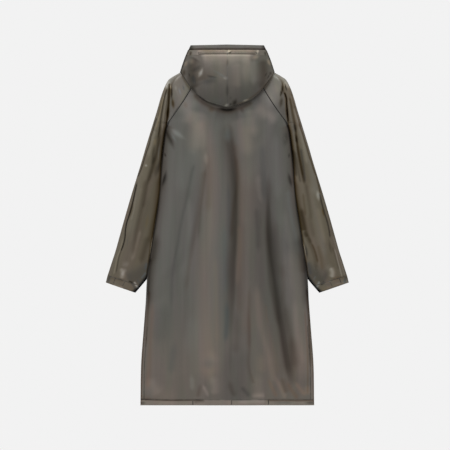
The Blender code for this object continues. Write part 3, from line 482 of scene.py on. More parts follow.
RIGHT_FOLDS: tuple[Fold, ...] = (
    # the crease from the underarm to the shoulder's tip and ones beside it, with painted shade and highlights
    Fold(((219, 376), (214, 433), (212, 459), (205, 480)), -0.8, 3.6, 3.6, (0, 4), 0.97, 0.99, sharp=2.4),
    Fold(((199, 462), (198, 522)), -0.6, 4.2, 4.2, (27, 27), 0.97, 1.2),
    Fold(((190, 415), (198, 473)), 0, 7, 6, (26, 26), 0.6, 0.48),
    Fold(((219, 369), (212, 444)), 0, 5, 4, (34, 34), 0.79, 0.19),
    Fold(((228, 487), (219, 507), (205, 525), (161, 549)), 0, 9, 9, (20, 0), -1.48, -0.61),
    Fold(((260, 358), (249, 401), (239, 444), (228, 473)), 0, 6, 7, (16, 14), -0.62, -0.37),
    Fold(((189, 455), (193, 473), (194, 495)), 0, 2.8, 2.8, (18, 18), 0.97, 0.74),
    Fold(((216, 477), (211, 495), (207, 516)), -0.4, 2, 2, (18, 18), 0.97, 0.12),
    Fold(((205, 495), (203, 513)), 0.4, 2, 2, (8, 8), -0.41, -0.01),
    # pleats that meet at the shoulder's tip, with painted shade and painted light
    Fold(((274, 156), (264, 225), (258, 253), (253, 286), (248, 318), (246, 351), (240, 379), (224, 466)),
         -1.8, 4.2, 4.8, (36, 14), 0.48, 0.69),
    Fold(((278, 142), (271, 181), (262, 221), (249, 300)), 0, 5, 6, (20, 20), 0.57, 0.46),
    Fold(((280, 149), (275, 199), (263, 282)), 0, 4.6, 4.6, (20, 14), 0.41, -0.31),
    Fold(((264, 149), (249, 235), (244, 271)), 0, 4.6, 4.6, (14, 14), 0.35, 0.07),
    Fold(((249, 171), (246, 210), (236, 279)), 0, 5, 5, (14, 14), 0.44, -0.06),
    Fold(((253, 279), (245, 340)), 0, 4.6, 5, (28, 28), 0.84, 0.38),
    Fold(((249, 322), (238, 379)), 0, 4.6, 4.6, (26, 26), 0.74, -0.25),
    Fold(((252, 232), (235, 351), (228, 390), (223, 430), (219, 455)), 1, 3.2, 3.2, (16, 14), -0.17, -0.32),
    Fold(((289, 214), (274, 289), (239, 426)), 0.8, 6, 5, (20, 14), -0.29, -0.06),
    # painted light along the outer strip
    Fold(((249, 423), (226, 484), (206, 518)), 0, 7, 7, (16, 4), -0.29, 0.03),
    Fold(((327, 91), (301, 214), (262, 372)), 0, 14, 14, (40, 30), -0.37, -0.33),
    # the bands down the forearm
    Fold(((355, -132), (346, -78), (303, 127), (296, 171)), 0.8, 12, 12, (50, 50), -0.2, -0.24),
    Fold(((305, 12), (280, 163)), -1, 7, 8, (30, 30), 0.27, 0.14),
    Fold(((329, 81), (327, 106), (322, 131)), 0.5, 6, 7, (23, 23), -1.19, -0.61),
    # painted shade on the inner side, under the body's edge
    Fold(((272, -20), (260, 48), (245, 135), (244, 178)), 0, 7, 11, (4, 40), 0.52, 0.55),
    # the trough that slants across the forearm
    Fold(((325, -175), (308, -96), (297, -71), (275, -24)), -2, 6, 8, (30, 6), 0.26, 0.1),
    Fold(((290, -132), (278, -56)), 0, 5, 5, (34, 34), 0.58, -0.23),
    Fold(((287, -45), (264, 70)), 0, 8, 9, (8, 24), 0.54, 0.38),
    Fold(((307, -78), (285, -24)), 0, 6, 6, (26, 26), 0.48, 0.27),
    Fold(((342, -168), (336, -117), (324, -67)), 0, 6, 7, (20, 14), 0.16, 0.31),
    Fold(((312, -53), (293, 48)), 0, 9, 9, (24, 24), 0.19, 0.11),
    Fold(((283, 27), (271, 120)), 0, 4, 5, (20, 14), 0.25, 0.31),
    Fold(((327, -139), (316, -96), (303, -63)), 0, 4, 4, (14, 10), 0.43, 0.5),
    Fold(((341, -38), (318, 63)), 0, 6, 6, (30, 30), 0.01, 0.09),
    Fold(((354, -74), (324, 70)), 0, 8, 7, (30, 20), -0.21, 0.04),
    Fold(((285, -132), (279, -89), (269, -45)), 0.4, 2.2, 2.2, (40, 40), -2.86, -0.71),
    # the crease inside the outer fold
    Fold(((321, 174), (311, 199), (302, 228), (293, 253), (286, 279), (278, 304), (270, 331), (262, 354),
          (256, 379), (249, 403), (229, 477)), -0.8, 2.5, 2.5, (10, 10), 0.56, 0.87),
    Fold(((334, 117), (321, 174)), 0, 2.2, 2.2, (0, 0), 0.57, 0.58),
    Fold(((370, -49), (366, -17), (359, 14), (350, 43), (337, 91), (332, 117)),
         -1.2, 3, 3, (14, 8), 0.67, -0.11),
    Fold(((373, -20), (366, 12), (350, 71), (343, 99)), 0, 2.8, 2.8, (8, 8), -0.22, -0.13),
    Fold(((350, 23), (343, 52), (339, 73)), 0.6, 3, 3, (23, 23), 0.35, 1.2),
    Fold(((412, -186), (407, -164), (400, -139), (393, -110), (384, -78)),
         -0.8, 2.4, 2.4, (6, 14), -0.73, -0.36),
    Fold(((378, -117), (368, -74), (364, -31)), 0, 4, 4, (39, 39), 0.27, 0),
    Fold(((401, -161), (377, -74)), 0.5, 3, 3, (8, 12), 0.23, 0.09),
    Fold(((382, -110), (368, -53)), 0, 6, 6, (27, 27), 0.18, 0.08),
    Fold(((422, -182), (413, -146), (401, -107), (379, -35)), 0, 3, 3, (6, 10), -0.36, -0.09),
    # painted light above the cuff
    Fold(((348, -157), (381, -146)), 0, 9, 9, (14, 14), -0.17, -0.15),
    Fold(((375, -189), (378, -168), (370, -150)), 0, 8, 8, (6, 8), -1.19, -0.43),
    Fold(((355, -224), (413, -211)), 0, 3.4, 3.4, (6, 6), -0.03, -0.12),
    Fold(((370, -198), (399, -189), (429, -185)), 0, 5, 5, (16, 0), 0.2, 0.56),
    Fold(((384, -212), (409, -206), (431, -202)), 0, 3, 3, (14, 0), -0.22, -0.43),
    Fold(((341, -211), (370, -213)), 0, 3.4, 3.4, (4, 4), 0.11, -0.28),
    # the cuff's cool inner corner, with painted shade and painted highlights on its creases
    Fold(((291, -157), (327, -180), (363, -197)), 0.6, 26, 30, (0, 16), 0.32, -0.41, sharp=2.6),
    Fold(((321, -225), (332, -200)), 0.4, 3, 3, (4, 4), -1.27, -1.11),
    Fold(((310, -197), (319, -180)), 0, 2.4, 2.4, (4, 4), -0.3, -0.7),
    Fold(((337, -215), (350, -202)), 0, 2.4, 2.4, (3, 3), 0.72, -0.2),
    Fold(((300, -179), (294, -153), (291, -128)), 0, 5, 7, (6, 8), 0.16, -0.48),
    Fold(((285, -184), (323, -231), (337, -242)), 0, 8.4, 8.4, (0, 0), 0.98, -0.6, sharp=2.5),
    Fold(((285, -197), (285, -153)), 0, 6, 6, (0, 8), -0.2, -0.12),
    Fold(((323, -182), (352, -168)), 0, 12, 12, (16, 16), -0.14, 0.09),
    # the cuff's turned edge
    Fold(((334, -236), (370, -221), (399, -212), (429, -205)), 0, 2.6, 2.6, (0, 0), -0.12, 0.34),
    Fold(((422, -204), (426, -182)), 0, 5, 5, (0, 4), 0.3, -0.82),
)

HOOD_FOLDS: tuple[Fold, ...] = (
    # the painted highlight on the left, and the painted shade beside it
    Fold(((-107, 527), (-98, 540), (-86, 570)), 1.4, 7, 6, (22, 30), -2.29, -1.2),
    Fold(((-154, 527), (-156, 549), (-152, 570)), 0, 7, 7, (20, 20), 0.6, 1.12),
    Fold(((-138, 552), (-113, 561), (-91, 581)), 0, 9, 9, (25, 25), 0.36, -0.53),
    Fold(((-105, 509), (-69, 518), (-26, 520)), 0, 8, 12, (36, 36), 0.31, -0.28),
    Fold(((-134, 509), (-120, 487), (-102, 469)), 0, 6, 4, (23, 23), 0.52, 0.1),
    Fold(((-136, 606), (-129, 631)), 0, 5, 5, (12, 12), 0.74, 1.2),
    Fold(((139, 606), (134, 631)), 0, 4, 4, (12, 12), 0.63, 0.04),
    Fold(((-133, 574), (-123, 606)), 0, 10, 10, (15, 15), -0.65, 0.85),
    Fold(((-114, 502), (-121, 523), (-121, 549)), -1.2, 8, 7, (21, 21), 0.1, -1.2),
    # the crease across to the seam, with painted shade in it and painted light beside it
    Fold(((-80, 538), (-26, 527)), -0.8, 3, 8, (25, 25), 0.34, -0.66),
    Fold(((-62, 563), (-37, 549), (-12, 534), (13, 522)), 0.8, 4, 7, (39, 39), -0.13, -0.66),
    # painted shade on the sides, and painted light between them
    Fold(((-113, 487), (-129, 531), (-131, 570), (-114, 606)), 0, 22, 20, (14, 10), 0.52, 0.3, sharp=2.4),
    Fold(((-77, 516), (-87, 559), (-87, 631)), 0, 40, 36, (14, 0), 0.35, 0.76),
    Fold(((114, 480), (132, 523), (132, 567), (125, 603)), 0, 17, 16, (30, 20), 0.44, 0.46),
    Fold(((114, 509), (118, 559), (111, 595)), 0, 24, 24, (39, 39), 0.06, 0.18),
    Fold(((93, 495), (96, 552), (93, 603)), 0, 14, 13, (30, 20), -0.49, -0.1),
    Fold(((35, 487), (39, 538), (35, 588)), 0, 16, 14, (20, 16), -0.24, 0.21),
    Fold(((67, 502), (67, 595)), 0, 14, 13, (30, 16), 0.02, 0.31),
    Fold(((-23, 502), (-26, 595)), 0, 20, 20, (30, 16), -0.16, 0.18),
    Fold(((-138, 531), (-127, 567), (-113, 599)), 0, 16, 24, (33, 33), 0.04, 0.36),
    Fold(((152, 538), (159, 556)), 0, 5, 5, (9, 9), 0.52, 0.36),
    Fold(((6, 526), (-6, 527), (-19, 531)), 0, 5, 5, (12, 12), -0.53, -0.1),
    Fold(((-69, 459), (-26, 444), (-19, 473)), 0, 14, 14, (34, 34), -0.05, -0.24),
    Fold(((141, 523), (154, 547)), 0.5, 2.4, 2.4, (12, 12), 0.53, 0.13),
    Fold(((132, 531), (145, 554)), 0.4, 2.2, 2.2, (12, 12), 0.4, 0.01),
    Fold(((-136, 531), (-139, 552)), 0.3, 2.2, 2.2, (10, 10), 0.48, -0.04),
    # painted shade on the lower half, which turns away from the light
    Fold(((-149, 451), (154, 451)), 0, 56, 60, (0, 0), 0.2, -0.14, sharp=2.4),
    # painted light under the hem
    Fold(((-98, 610), (96, 610)), 0, 5, 24, (20, 20), -0.78, 0.47),
    Fold(((-102, 611), (100, 611)), 0, 3, 4, (12, 12), -0.49, -0.22),
    Fold(((-113, 627), (111, 627)), 0, 5, 5, (20, 20), -0.17, 0.51),
    Fold(((-104, 616), (103, 616)), 0, 2.6, 2.6, (4, 4), 0.71, -0.03),
    Fold(((-104, 623), (103, 623)), 0, 1.8, 1.8, (4, 4), 0.08, 0, sharp=2.5),
    Fold(((39, 559), (96, 559)), 0, 44, 44, (26, 26), -0.52, -0.03),
    # the faint centre seam
    Fold(((1, 563), (2, 606)), -0.4, 5, 5, (19, 19), 0.29, 0.46),
    Fold(((0, 451), (0, 516)), -0.6, 6, 6, (29, 29), 0.32, 0.07),
    # painted highlights on the turns at the foot
    Fold(((-87, 456), (-73, 447), (-53, 440)), 0.4, 2.8, 2.8, (17, 17), -0.37, 0.11),
    Fold(((49, 444), (66, 449), (82, 456)), 0.4, 2.8, 2.8, (16, 16), -1.71, 0.07),
    # the pinch at the foot's tip, with a painted highlight and painted shade
    Fold(((-13, 428), (-3, 431), (7, 437)), 0.8, 4, 4, (10, 10), -1.58, -0.06),
    Fold(((12, 427), (26, 439), (35, 459)), -0.8, 9, 8, (18, 20), 0.67, 0.55),
    Fold(((6, 448), (17, 466)), 0, 5, 5, (9, 9), 0.15, 0),
    Fold(((82, 599), (121, 611)), 0, 8, 8, (19, 19), -0.87, 0.96),
    Fold(((103, 628), (116, 624)), 0, 6, 6, (6, 6), -1.71, 0.31),
    Fold(((8, 428), (15, 441)), 0, 3, 3, (6, 6), 0.5, 0),
    # a short crease in the hem's middle, with a painted highlight and painted shade
    Fold(((-6, 619), (15, 630)), 0.6, 3.4, 3.4, (11, 11), -1.23, -0.02),
    Fold(((1, 616), (19, 626)), 0, 2.2, 2.2, (9, 9), 0.86, 0.03),
    # painted shade over painted light along the sides' edges
    Fold(((-171, 547), (-141, 630), (-131, 651)), 0, 3.6, 3.6, (0, 0), 0.7, 0.3, sharp=2.5),
    Fold(((-155, 567), (-143, 597)), 0.3, 4.5, 6, (15, 15), -0.49, 1.2),
    Fold(((131, 651), (153, 603), (172, 547)), 0, 3.6, 3.6, (0, 0), 0.7, 0.3, sharp=2.5),
    Fold(((142, 603), (156, 570)), 0.3, 6, 4.5, (16, 16), -0.71, 1.2),
    # painted shade along the corners and the foot's outline
    Fold(((-168, 552), (-156, 531), (-133, 492), (-116, 474), (-98, 461), (-62, 439), (-37, 431)),
         0, 3, 3, (0, 10), 0.59, 0.02),
    Fold(((31, 433), (69, 449), (89, 461), (111, 479), (154, 527), (170, 552)),
         0, 2.6, 2.6, (10, 0), 0.25, 1),
)


# ---- Finishes ---------------------------------------------------------------

PINKER = (1.03, 0.985, 1.0, 1.0)  # two faint casts, between which the film's tint drifts
GREENER = (0.985, 1.01, 0.965, 1.0)


def add_node(
    tree: bpy.types.NodeTree, kind: str, settings: dict | None = None, links: dict | None = None,
    out: int | str = 0,
) -> bpy.types.NodeSocket:
    """Adds one shader node.

    Args:
        tree: The material's node tree.
        kind: The node's type, such as "Mix".
        settings: Values by attribute name, or by input number or name.
        links: Output sockets to join to the inputs with these numbers or names.
        out: The number or name of the output to return.

    Returns:
        The new node's output.
    """
    node = tree.nodes.new("ShaderNode" + kind)
    for key, value in (settings or {}).items():
        if isinstance(key, str) and hasattr(node, key):
            setattr(node, key, value)
        else:
            node.inputs[key].default_value = value
    for key, socket in (links or {}).items():
        tree.links.new(socket, node.inputs[key])
    return node.outputs[out]


def new_material(name: str) -> tuple[bpy.types.Material, bpy.types.NodeTree, bpy.types.Node]:
    """Makes a material with a Principled shader.

    Args:
        name: The material's name.

    Returns:
        The material, its node tree and the shader.
    """
    made = bpy.data.materials.new(name)
    made.use_nodes = True
    return made, made.node_tree, made.node_tree.nodes["Principled BSDF"]


def per_metre(across_mm: float, along_mm: float) -> tuple[float, float, float]:
    """Returns how many grains of these sizes fit in a metre along each axis, for a pattern's scale."""
    return (1.0 / (across_mm * MM), 1.0 / (along_mm * MM), 1.0 / (across_mm * MM))


@dataclass(frozen=True)
class CalenderedFilm:
    """Smoke-tinted TPU rain film, calendered between a satin roll and a finely embossed one.

    The satin roll gives it a soft, wide sheen. The smoke tint reads grey where the layers touch and brown
    where air parts them, so its colour drifts from fold to fold. The folds' painted shade darkens it and
    dims its sheen, and their painted light lightens it and brightens the sheen.

    Attributes:
        name: The material's name.
        cool: The film where the layers touch, in sRGB hex.
        warm: The film where air parts them, in sRGB hex.
        lean: How far its long streaks lean from the coat's length, in degrees.
        roughness: Of the satin face.
        gloss: Its specular level.
        streak_mm: The warmer streaks' width and length.
        veil_mm: The width and length of the patches with one cast.
        pleat_shading_mm: The width and length of the painted light and shade that stands in for fine pleats.
        pleat_shading: How much lighter or darker that painted light and shade makes the film.
        ripple_mm: The film's own slow waviness between folds.
        emboss_mm: The emboss's grain. The real one is finer, and is drawn coarser so that it shows.
    """

    name: str
    cool: str
    warm: str
    lean: float = 0.0
    roughness: float = 0.46
    gloss: float = 0.36
    streak_mm: Size = (38.46, 416.7)
    veil_mm: Size = (29.41, 200.0)
    pleat_shading_mm: Size = (22.73, 454.5)
    pleat_shading: float = 0.07
    ripple_mm: float = 34.0
    emboss_mm: float = 1.6

    def build(self) -> bpy.types.Material:
        """Makes the material from the film's tints, the folds' tints and two scales of bump.

        Returns:
            The material.
        """
        made, tree, shader = new_material(self.name)
        shader.inputs["Roughness"].default_value = self.roughness
        place = add_node(tree, "TexCoord", out="Object")
        lean = (0.0, 0.0, math.radians(self.lean))
        hang = add_node(tree, "Mapping", {"Rotation": lean}, {"Vector": place})
        noises = []
        for size, shift, detail in (
            (self.streak_mm, (0.0, 0.0, 0.0), 2.0), (self.veil_mm, (3.0, 5.0, 0.0), 1.0),
            (self.pleat_shading_mm, (0.0, 0.0, 0.0), 2.0),
        ):
            grid = {"Location": shift, "Scale": per_metre(*size)}
            grains = add_node(tree, "Mapping", grid, {"Vector": hang})
            noises.append(add_node(tree, "TexNoise", {"Scale": 1.0, "Detail": detail}, {"Vector": grains}))
        streaks, veils, pleat_shading_noise = noises

        warm = add_node(tree, "Attribute", {"attribute_name": "warm"}, out="Fac")
        # the folds' painted shade; below 0 it is painted light
        shade = add_node(tree, "Attribute", {"attribute_name": "shade"}, out="Fac")
        drift = add_node(tree, "Math", {"operation": "MULTIPLY_ADD", 1: 0.5, 2: -0.2}, {0: streaks})
        share = add_node(tree, "Math", {"operation": "ADD"}, {0: drift, 1: warm})
        tints = {"data_type": "RGBA", "clamp_factor": False, 6: linear(self.cool), 7: linear(self.warm)}
        tint = add_node(tree, "Mix", tints, {0: share}, out=2)
        clear = add_node(tree, "Math", {"operation": "SUBTRACT", 0: 1.0}, {1: shade})
        # painted light and shade that stands in for fine lengthwise pleats
        lighter = {1: 0.3, 2: 0.7, 3: 1.0 - self.pleat_shading, 4: 1.0 + self.pleat_shading}
        painted_pleat_light = add_node(tree, "MapRange", lighter, {0: pleat_shading_noise})
        lit = add_node(tree, "Math", {"operation": "MULTIPLY"}, {0: clear, 1: painted_pleat_light})
        colour = add_node(tree, "VectorMath", {"operation": "SCALE"}, {0: tint, "Scale": lit})
        turn = add_node(tree, "MapRange", {1: 0.35, 2: 0.65}, {0: veils})
        cast = add_node(tree, "Mix", {"data_type": "RGBA", 6: PINKER, 7: GREENER}, {0: turn}, out=2)
        veiled = add_node(tree, "VectorMath", {"operation": "MULTIPLY"}, {0: colour, 1: cast})
        # painted shade dims the sheen, and painted light brightens it
        dulled = {"operation": "MULTIPLY", "use_clamp": True, 1: self.gloss}
        gloss = add_node(tree, "Math", dulled, {0: clear})

        normal = None
        for size, detail, strength, height in (
            (self.ripple_mm, 1.0, 0.3, 1.2 * MM), (self.emboss_mm, 2.0, 0.25, 0.05 * MM),
        ):
            grain = {"Scale": 1.0 / (size * MM), "Detail": detail}
            links = {"Height": add_node(tree, "TexNoise", grain, {"Vector": place})}
            if normal:
                links["Normal"] = normal
            normal = add_node(tree, "Bump", {"Strength": strength, "Distance": height}, links)
        for key, socket in (("Base Color", veiled), ("Specular IOR Level", gloss), ("Normal", normal)):
            tree.links.new(socket, shader.inputs[key])
        return made


@dataclass(frozen=True)
class WeldedFilm:
    """A high-frequency weld in the same film: pressed by a ribbed bar, so it is glossier and uneven.

    Attributes:
        name: The material's name.
        dark: The film where the bar pressed hardest, in sRGB hex.
        light: The film where it pressed least, in sRGB hex.
        roughness: Of the pressed face.
        gloss: Its specular level.
        patch_mm: How far the pressure stays the same.
        rib_mm: The bar's ribs.
    """

    name: str
    dark: str
    light: str
    roughness: float = 0.36
    gloss: float = 0.36
    patch_mm: float = 16.0
    rib_mm: float = 2.2

    def build(self) -> bpy.types.Material:
        """Makes the material, with the welding bar's ribs as bump.

        Returns:
            The material.
        """
        made, tree, shader = new_material(self.name)
        shader.inputs["Roughness"].default_value = self.roughness
        shader.inputs["Specular IOR Level"].default_value = self.gloss
        place = add_node(tree, "TexCoord", out="Object")
        patches, ribs = (
            add_node(tree, "TexNoise", {"Scale": 1.0 / (size * MM), "Detail": detail}, {"Vector": place})
            for size, detail in ((self.patch_mm, 1.0), (self.rib_mm, 0.0))
        )
        clearer = add_node(tree, "MapRange", {1: 0.35, 2: 0.65}, {0: patches})
        tints = {"data_type": "RGBA", 6: linear(self.dark), 7: linear(self.light)}
        tree.links.new(add_node(tree, "Mix", tints, {0: clearer}, out=2), shader.inputs["Base Color"])
        bump = add_node(tree, "Bump", {"Strength": 0.4, "Distance": 0.1 * MM}, {"Height": ribs})
        tree.links.new(bump, shader.inputs["Normal"])
        return made


@dataclass(frozen=True)
class MouldedAcetal:
    """Injection-moulded acetal, as press studs are: smooth, with a faint tumbled mottle."""

    name: str
    colour: str
    roughness: float = 0.30
    mottle_mm: float = 1.111

    def build(self) -> bpy.types.Material:
        """Makes the material, whose roughness wanders a little where the studs have rubbed.

        Returns:
            The material.
        """
        made, tree, shader = new_material(self.name)
        shader.inputs["Base Color"].default_value = linear(self.colour)
        place = add_node(tree, "TexCoord", out="Object")
        grain = {"Scale": 1.0 / (self.mottle_mm * MM), "Detail": 1.0}
        mottle = add_node(tree, "TexNoise", grain, {"Vector": place})
        rubbed = {3: self.roughness - 0.05, 4: self.roughness + 0.12}
        tree.links.new(add_node(tree, "MapRange", rubbed, {0: mottle}), shader.inputs["Roughness"])
        return made


@dataclass(frozen=True)
class OpalAcrylic:
    """The opal acrylic top of a light table: lit from below, so that nothing casts a shadow on it."""

    name: str
    glow: str  # how it shows, in sRGB hex

    def build(self) -> bpy.types.Material:
        """Makes the material, which glows evenly and reflects nothing.

        Returns:
            The material.
        """
        made, _, shader = new_material(self.name)
        shader.inputs["Base Color"].default_value = (0.0, 0.0, 0.0, 1.0)
        shader.inputs["Roughness"].default_value = 1.0
        shader.inputs["Specular IOR Level"].default_value = 0.0
        shader.inputs["Emission Color"].default_value = linear(self.glow)
        shader.inputs["Emission Strength"].default_value = 1.0
        return made


@dataclass
class Finishes:
    """The coat's materials, made once and shared by its pieces."""

    film: bpy.types.Material = field(init=False)
    hood_film: bpy.types.Material = field(init=False)
    arm_film: dict[Side, bpy.types.Material] = field(init=False)
    weld: bpy.types.Material = field(init=False)
    seam: bpy.types.Material = field(init=False)
    stud: bpy.types.Material = field(init=False)
    arm_lean: float = 16.7  # how far each arm leans out from the coat's length, in degrees

    def __post_init__(self) -> None:
        """Builds each material."""
        self.film = CalenderedFilm("tpu_film", cool="#53524e", warm="#5c544c").build()
        self.hood_film = CalenderedFilm("tpu_film_hood", cool="#53524d", warm="#5c554b").build()
        self.arm_film = {}
        for side in Side:
            lean = -self.arm_lean * side.value
            arm = CalenderedFilm(f"tpu_film_{side.word}_arm", cool="#53524e", warm="#584f40", lean=lean)
            self.arm_film[side] = arm.build()
        self.weld = WeldedFilm("welded_film", dark="#2a2723", light="#504a43").build()
        self.seam = WeldedFilm("welded_raglan_seam", dark="#131211", light="#24211e").build()
        self.stud = MouldedAcetal("moulded_acetal", "#3a3733").build()


# ---- Making pieces ----------------------------------------------------------

FILM_SHELL = 0.7 * MM  # real film is 0.25 mm, and this much keeps its cut edges in view
UP = np.array((0.0, 0.0, 1.0))
# (across, up) of a bead's section, round from its left edge, in half widths and heights
BEAD_SECTION: tuple[Point, ...] = ((-1, 0), (-0.6, 0.75), (0, 1), (0.6, 0.75), (1, 0), (0, -0.8))


def add_piece(
    name: str, points: Grid, faces: list, finish: bpy.types.Material,
    replaced: str | None = None, relief: Relief | None = None,
) -> bpy.types.Object:
    """Makes one piece of the coat and puts it on the coat's only body.

    Args:
        name: The piece's name.
        points: Its points, in metres.
        faces: Its faces, as numbers of points.
        finish: Its material.
        replaced: The solid that it stands for, if any.
        relief: The painted shade and warmth of its points, if it has them.

    Returns:
        The piece.
    """
    mesh = bpy.data.meshes.new(name)
    mesh.from_pydata(points.reshape(-1, 3).tolist(), [], faces)
    if relief is not None:
        # the painted shade and the warmth go onto the points
        for key, values in (("shade", relief.shade), ("warm", relief.warm)):
            layer = mesh.attributes.new(key, "FLOAT", "POINT")
            layer.data.foreach_set("value", np.ascontiguousarray(values, np.float32).ravel())
    mesh.materials.append(finish)
    mesh.shade_smooth()
    piece = bpy.data.objects.new(name, mesh)
    bpy.context.scene.collection.objects.link(piece)
    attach(piece, "root")
    if replaced:
        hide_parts(replaced)
    LOG.info("%s: %d faces", name, len(faces))
    return piece


def add_shell(
    name: str, grid: Grid, finish: bpy.types.Material, relief: Relief, replaced: str,
    turned: int | None = None,
) -> bpy.types.Object:
    """Makes a thin closed shell round a grid of middle points.

    Args:
        name: The piece's name.
        grid: Its points on the middle of the film, in metres. Rows run down and columns to the right, seen
            from outside.
        finish: Its material.
        relief: The painted shade and warmth of its points.
        replaced: The solid that it stands for.
        turned: 0 or 1 where the grid's rows or its columns run the other way.

    Returns:
        The piece.
    """
    if turned is not None:
        grid = np.flip(grid, turned)
        relief = Relief(*(np.flip(part, turned) for part in (relief.height, relief.shade, relief.warm)))
    corner = np.arange(grid.shape[0] * grid.shape[1]).reshape(grid.shape[:2])
    ring = (corner[:-1, :-1], corner[1:, :-1], corner[1:, 1:], corner[:-1, 1:])
    faces = np.stack([part.ravel() for part in ring], axis=1).tolist()
    piece = add_piece(name, grid, faces, finish, replaced, relief)
    shell = piece.modifiers.new("film", "SOLIDIFY")
    shell.thickness = FILM_SHELL
    shell.offset = 0.0
    return piece


def add_beads(
    name: str, lines: list[Grid], size: Size, finish: bpy.types.Material, folds: tuple[Fold, ...] = ()
) -> bpy.types.Object:
    """Makes a low closed bead along each of some lines, joined as one piece.

    Args:
        name: The piece's name.
        lines: Each line's points, on the cloth's face, in metres.
        size: The beads' width, and how far they stand off the cloth, in metres.
        finish: Their material.
        folds: The folds whose painted shade and warmth they share.

    Returns:
        The piece.
    """
    points, faces = [], []
    ring = len(BEAD_SECTION)
    width, height = size
    for line in lines:
        across = np.cross(np.gradient(line, axis=0), UP)
        across /= np.linalg.norm(across, axis=1, keepdims=True)
        first = len(points)
        for point, sideways in zip(line, across):
            points += [point + sideways * side * width / 2 + UP * up * height for side, up in BEAD_SECTION]
        for i in range(len(line) - 1):
            for j in range(ring):
                a, b = first + i * ring + j, first + i * ring + (j + 1) % ring
                faces.append([b, a, a + ring, b + ring])
        faces.append([first + j for j in range(ring)])
        faces.append([first + (len(line) - 1) * ring + j for j in reversed(range(ring))])
    made = np.array(points)
    return add_piece(name, made, faces, finish, relief=Relief.of(folds, made[:, 0], made[:, 1]))


def spread(start: Grid, end: Grid, share: Grid) -> Grid:
    """Returns rows of points (x, y): for each start and its end, one at each share of the way."""
    return between(start[:, None, :], end[:, None, :], share[:, :, None])


def join(places: list[Grid], heights: list[Grid]) -> Grid:
    """Returns rows of points from the parts' places (x, y) and heights, side by side."""
    return np.concatenate([np.concatenate(places, 1), np.concatenate(heights, 1)[:, :, None]], 2)


def turn_back(centre: Grid, inward: Grid, radius: Grid, steps: int) -> tuple[Grid, Grid]:
    """Returns rows of points (x, y) round each fold's half circle, without its ends, and their angles."""
    angle = (math.pi * np.arange(1, steps) / steps)[None, :]
    return centre[:, None, :] - inward[:, None, :] * (radius * np.sin(angle))[:, :, None], angle


def on_hem(off_edge: Grid, depth: float, step_width: float = 1.6 * MM) -> Grid:
    """Returns 1 on a turned hem of this depth and 0 beyond it, from the distance off its edge."""
    return smooth((depth + step_width / 2 - off_edge) / step_width)


# ---- The coat as it is laid -------------------------------------------------


@dataclass(frozen=True)
class LaidLayers:
    """How thick the solids' walls are and how they stack, in metres."""

    wall: float = 1.2 * MM
    gap: float = 0.3 * MM
    snap_height: float = 1.6 * MM

    @property
    def floor(self) -> float:
        """Middle of a layer that lies on the surface."""
        return self.wall / 2

    @property
    def step(self) -> float:
        """From the middle of one laid layer to the middle of the next."""
        return self.wall + self.gap

    def lift(self, side: Side) -> float:
        """Returns how far the studs, and the front below, lift each front along the closure."""
        on_studs = self.snap_height + self.gap
        return on_studs if side is Side.LEFT else on_studs + self.step


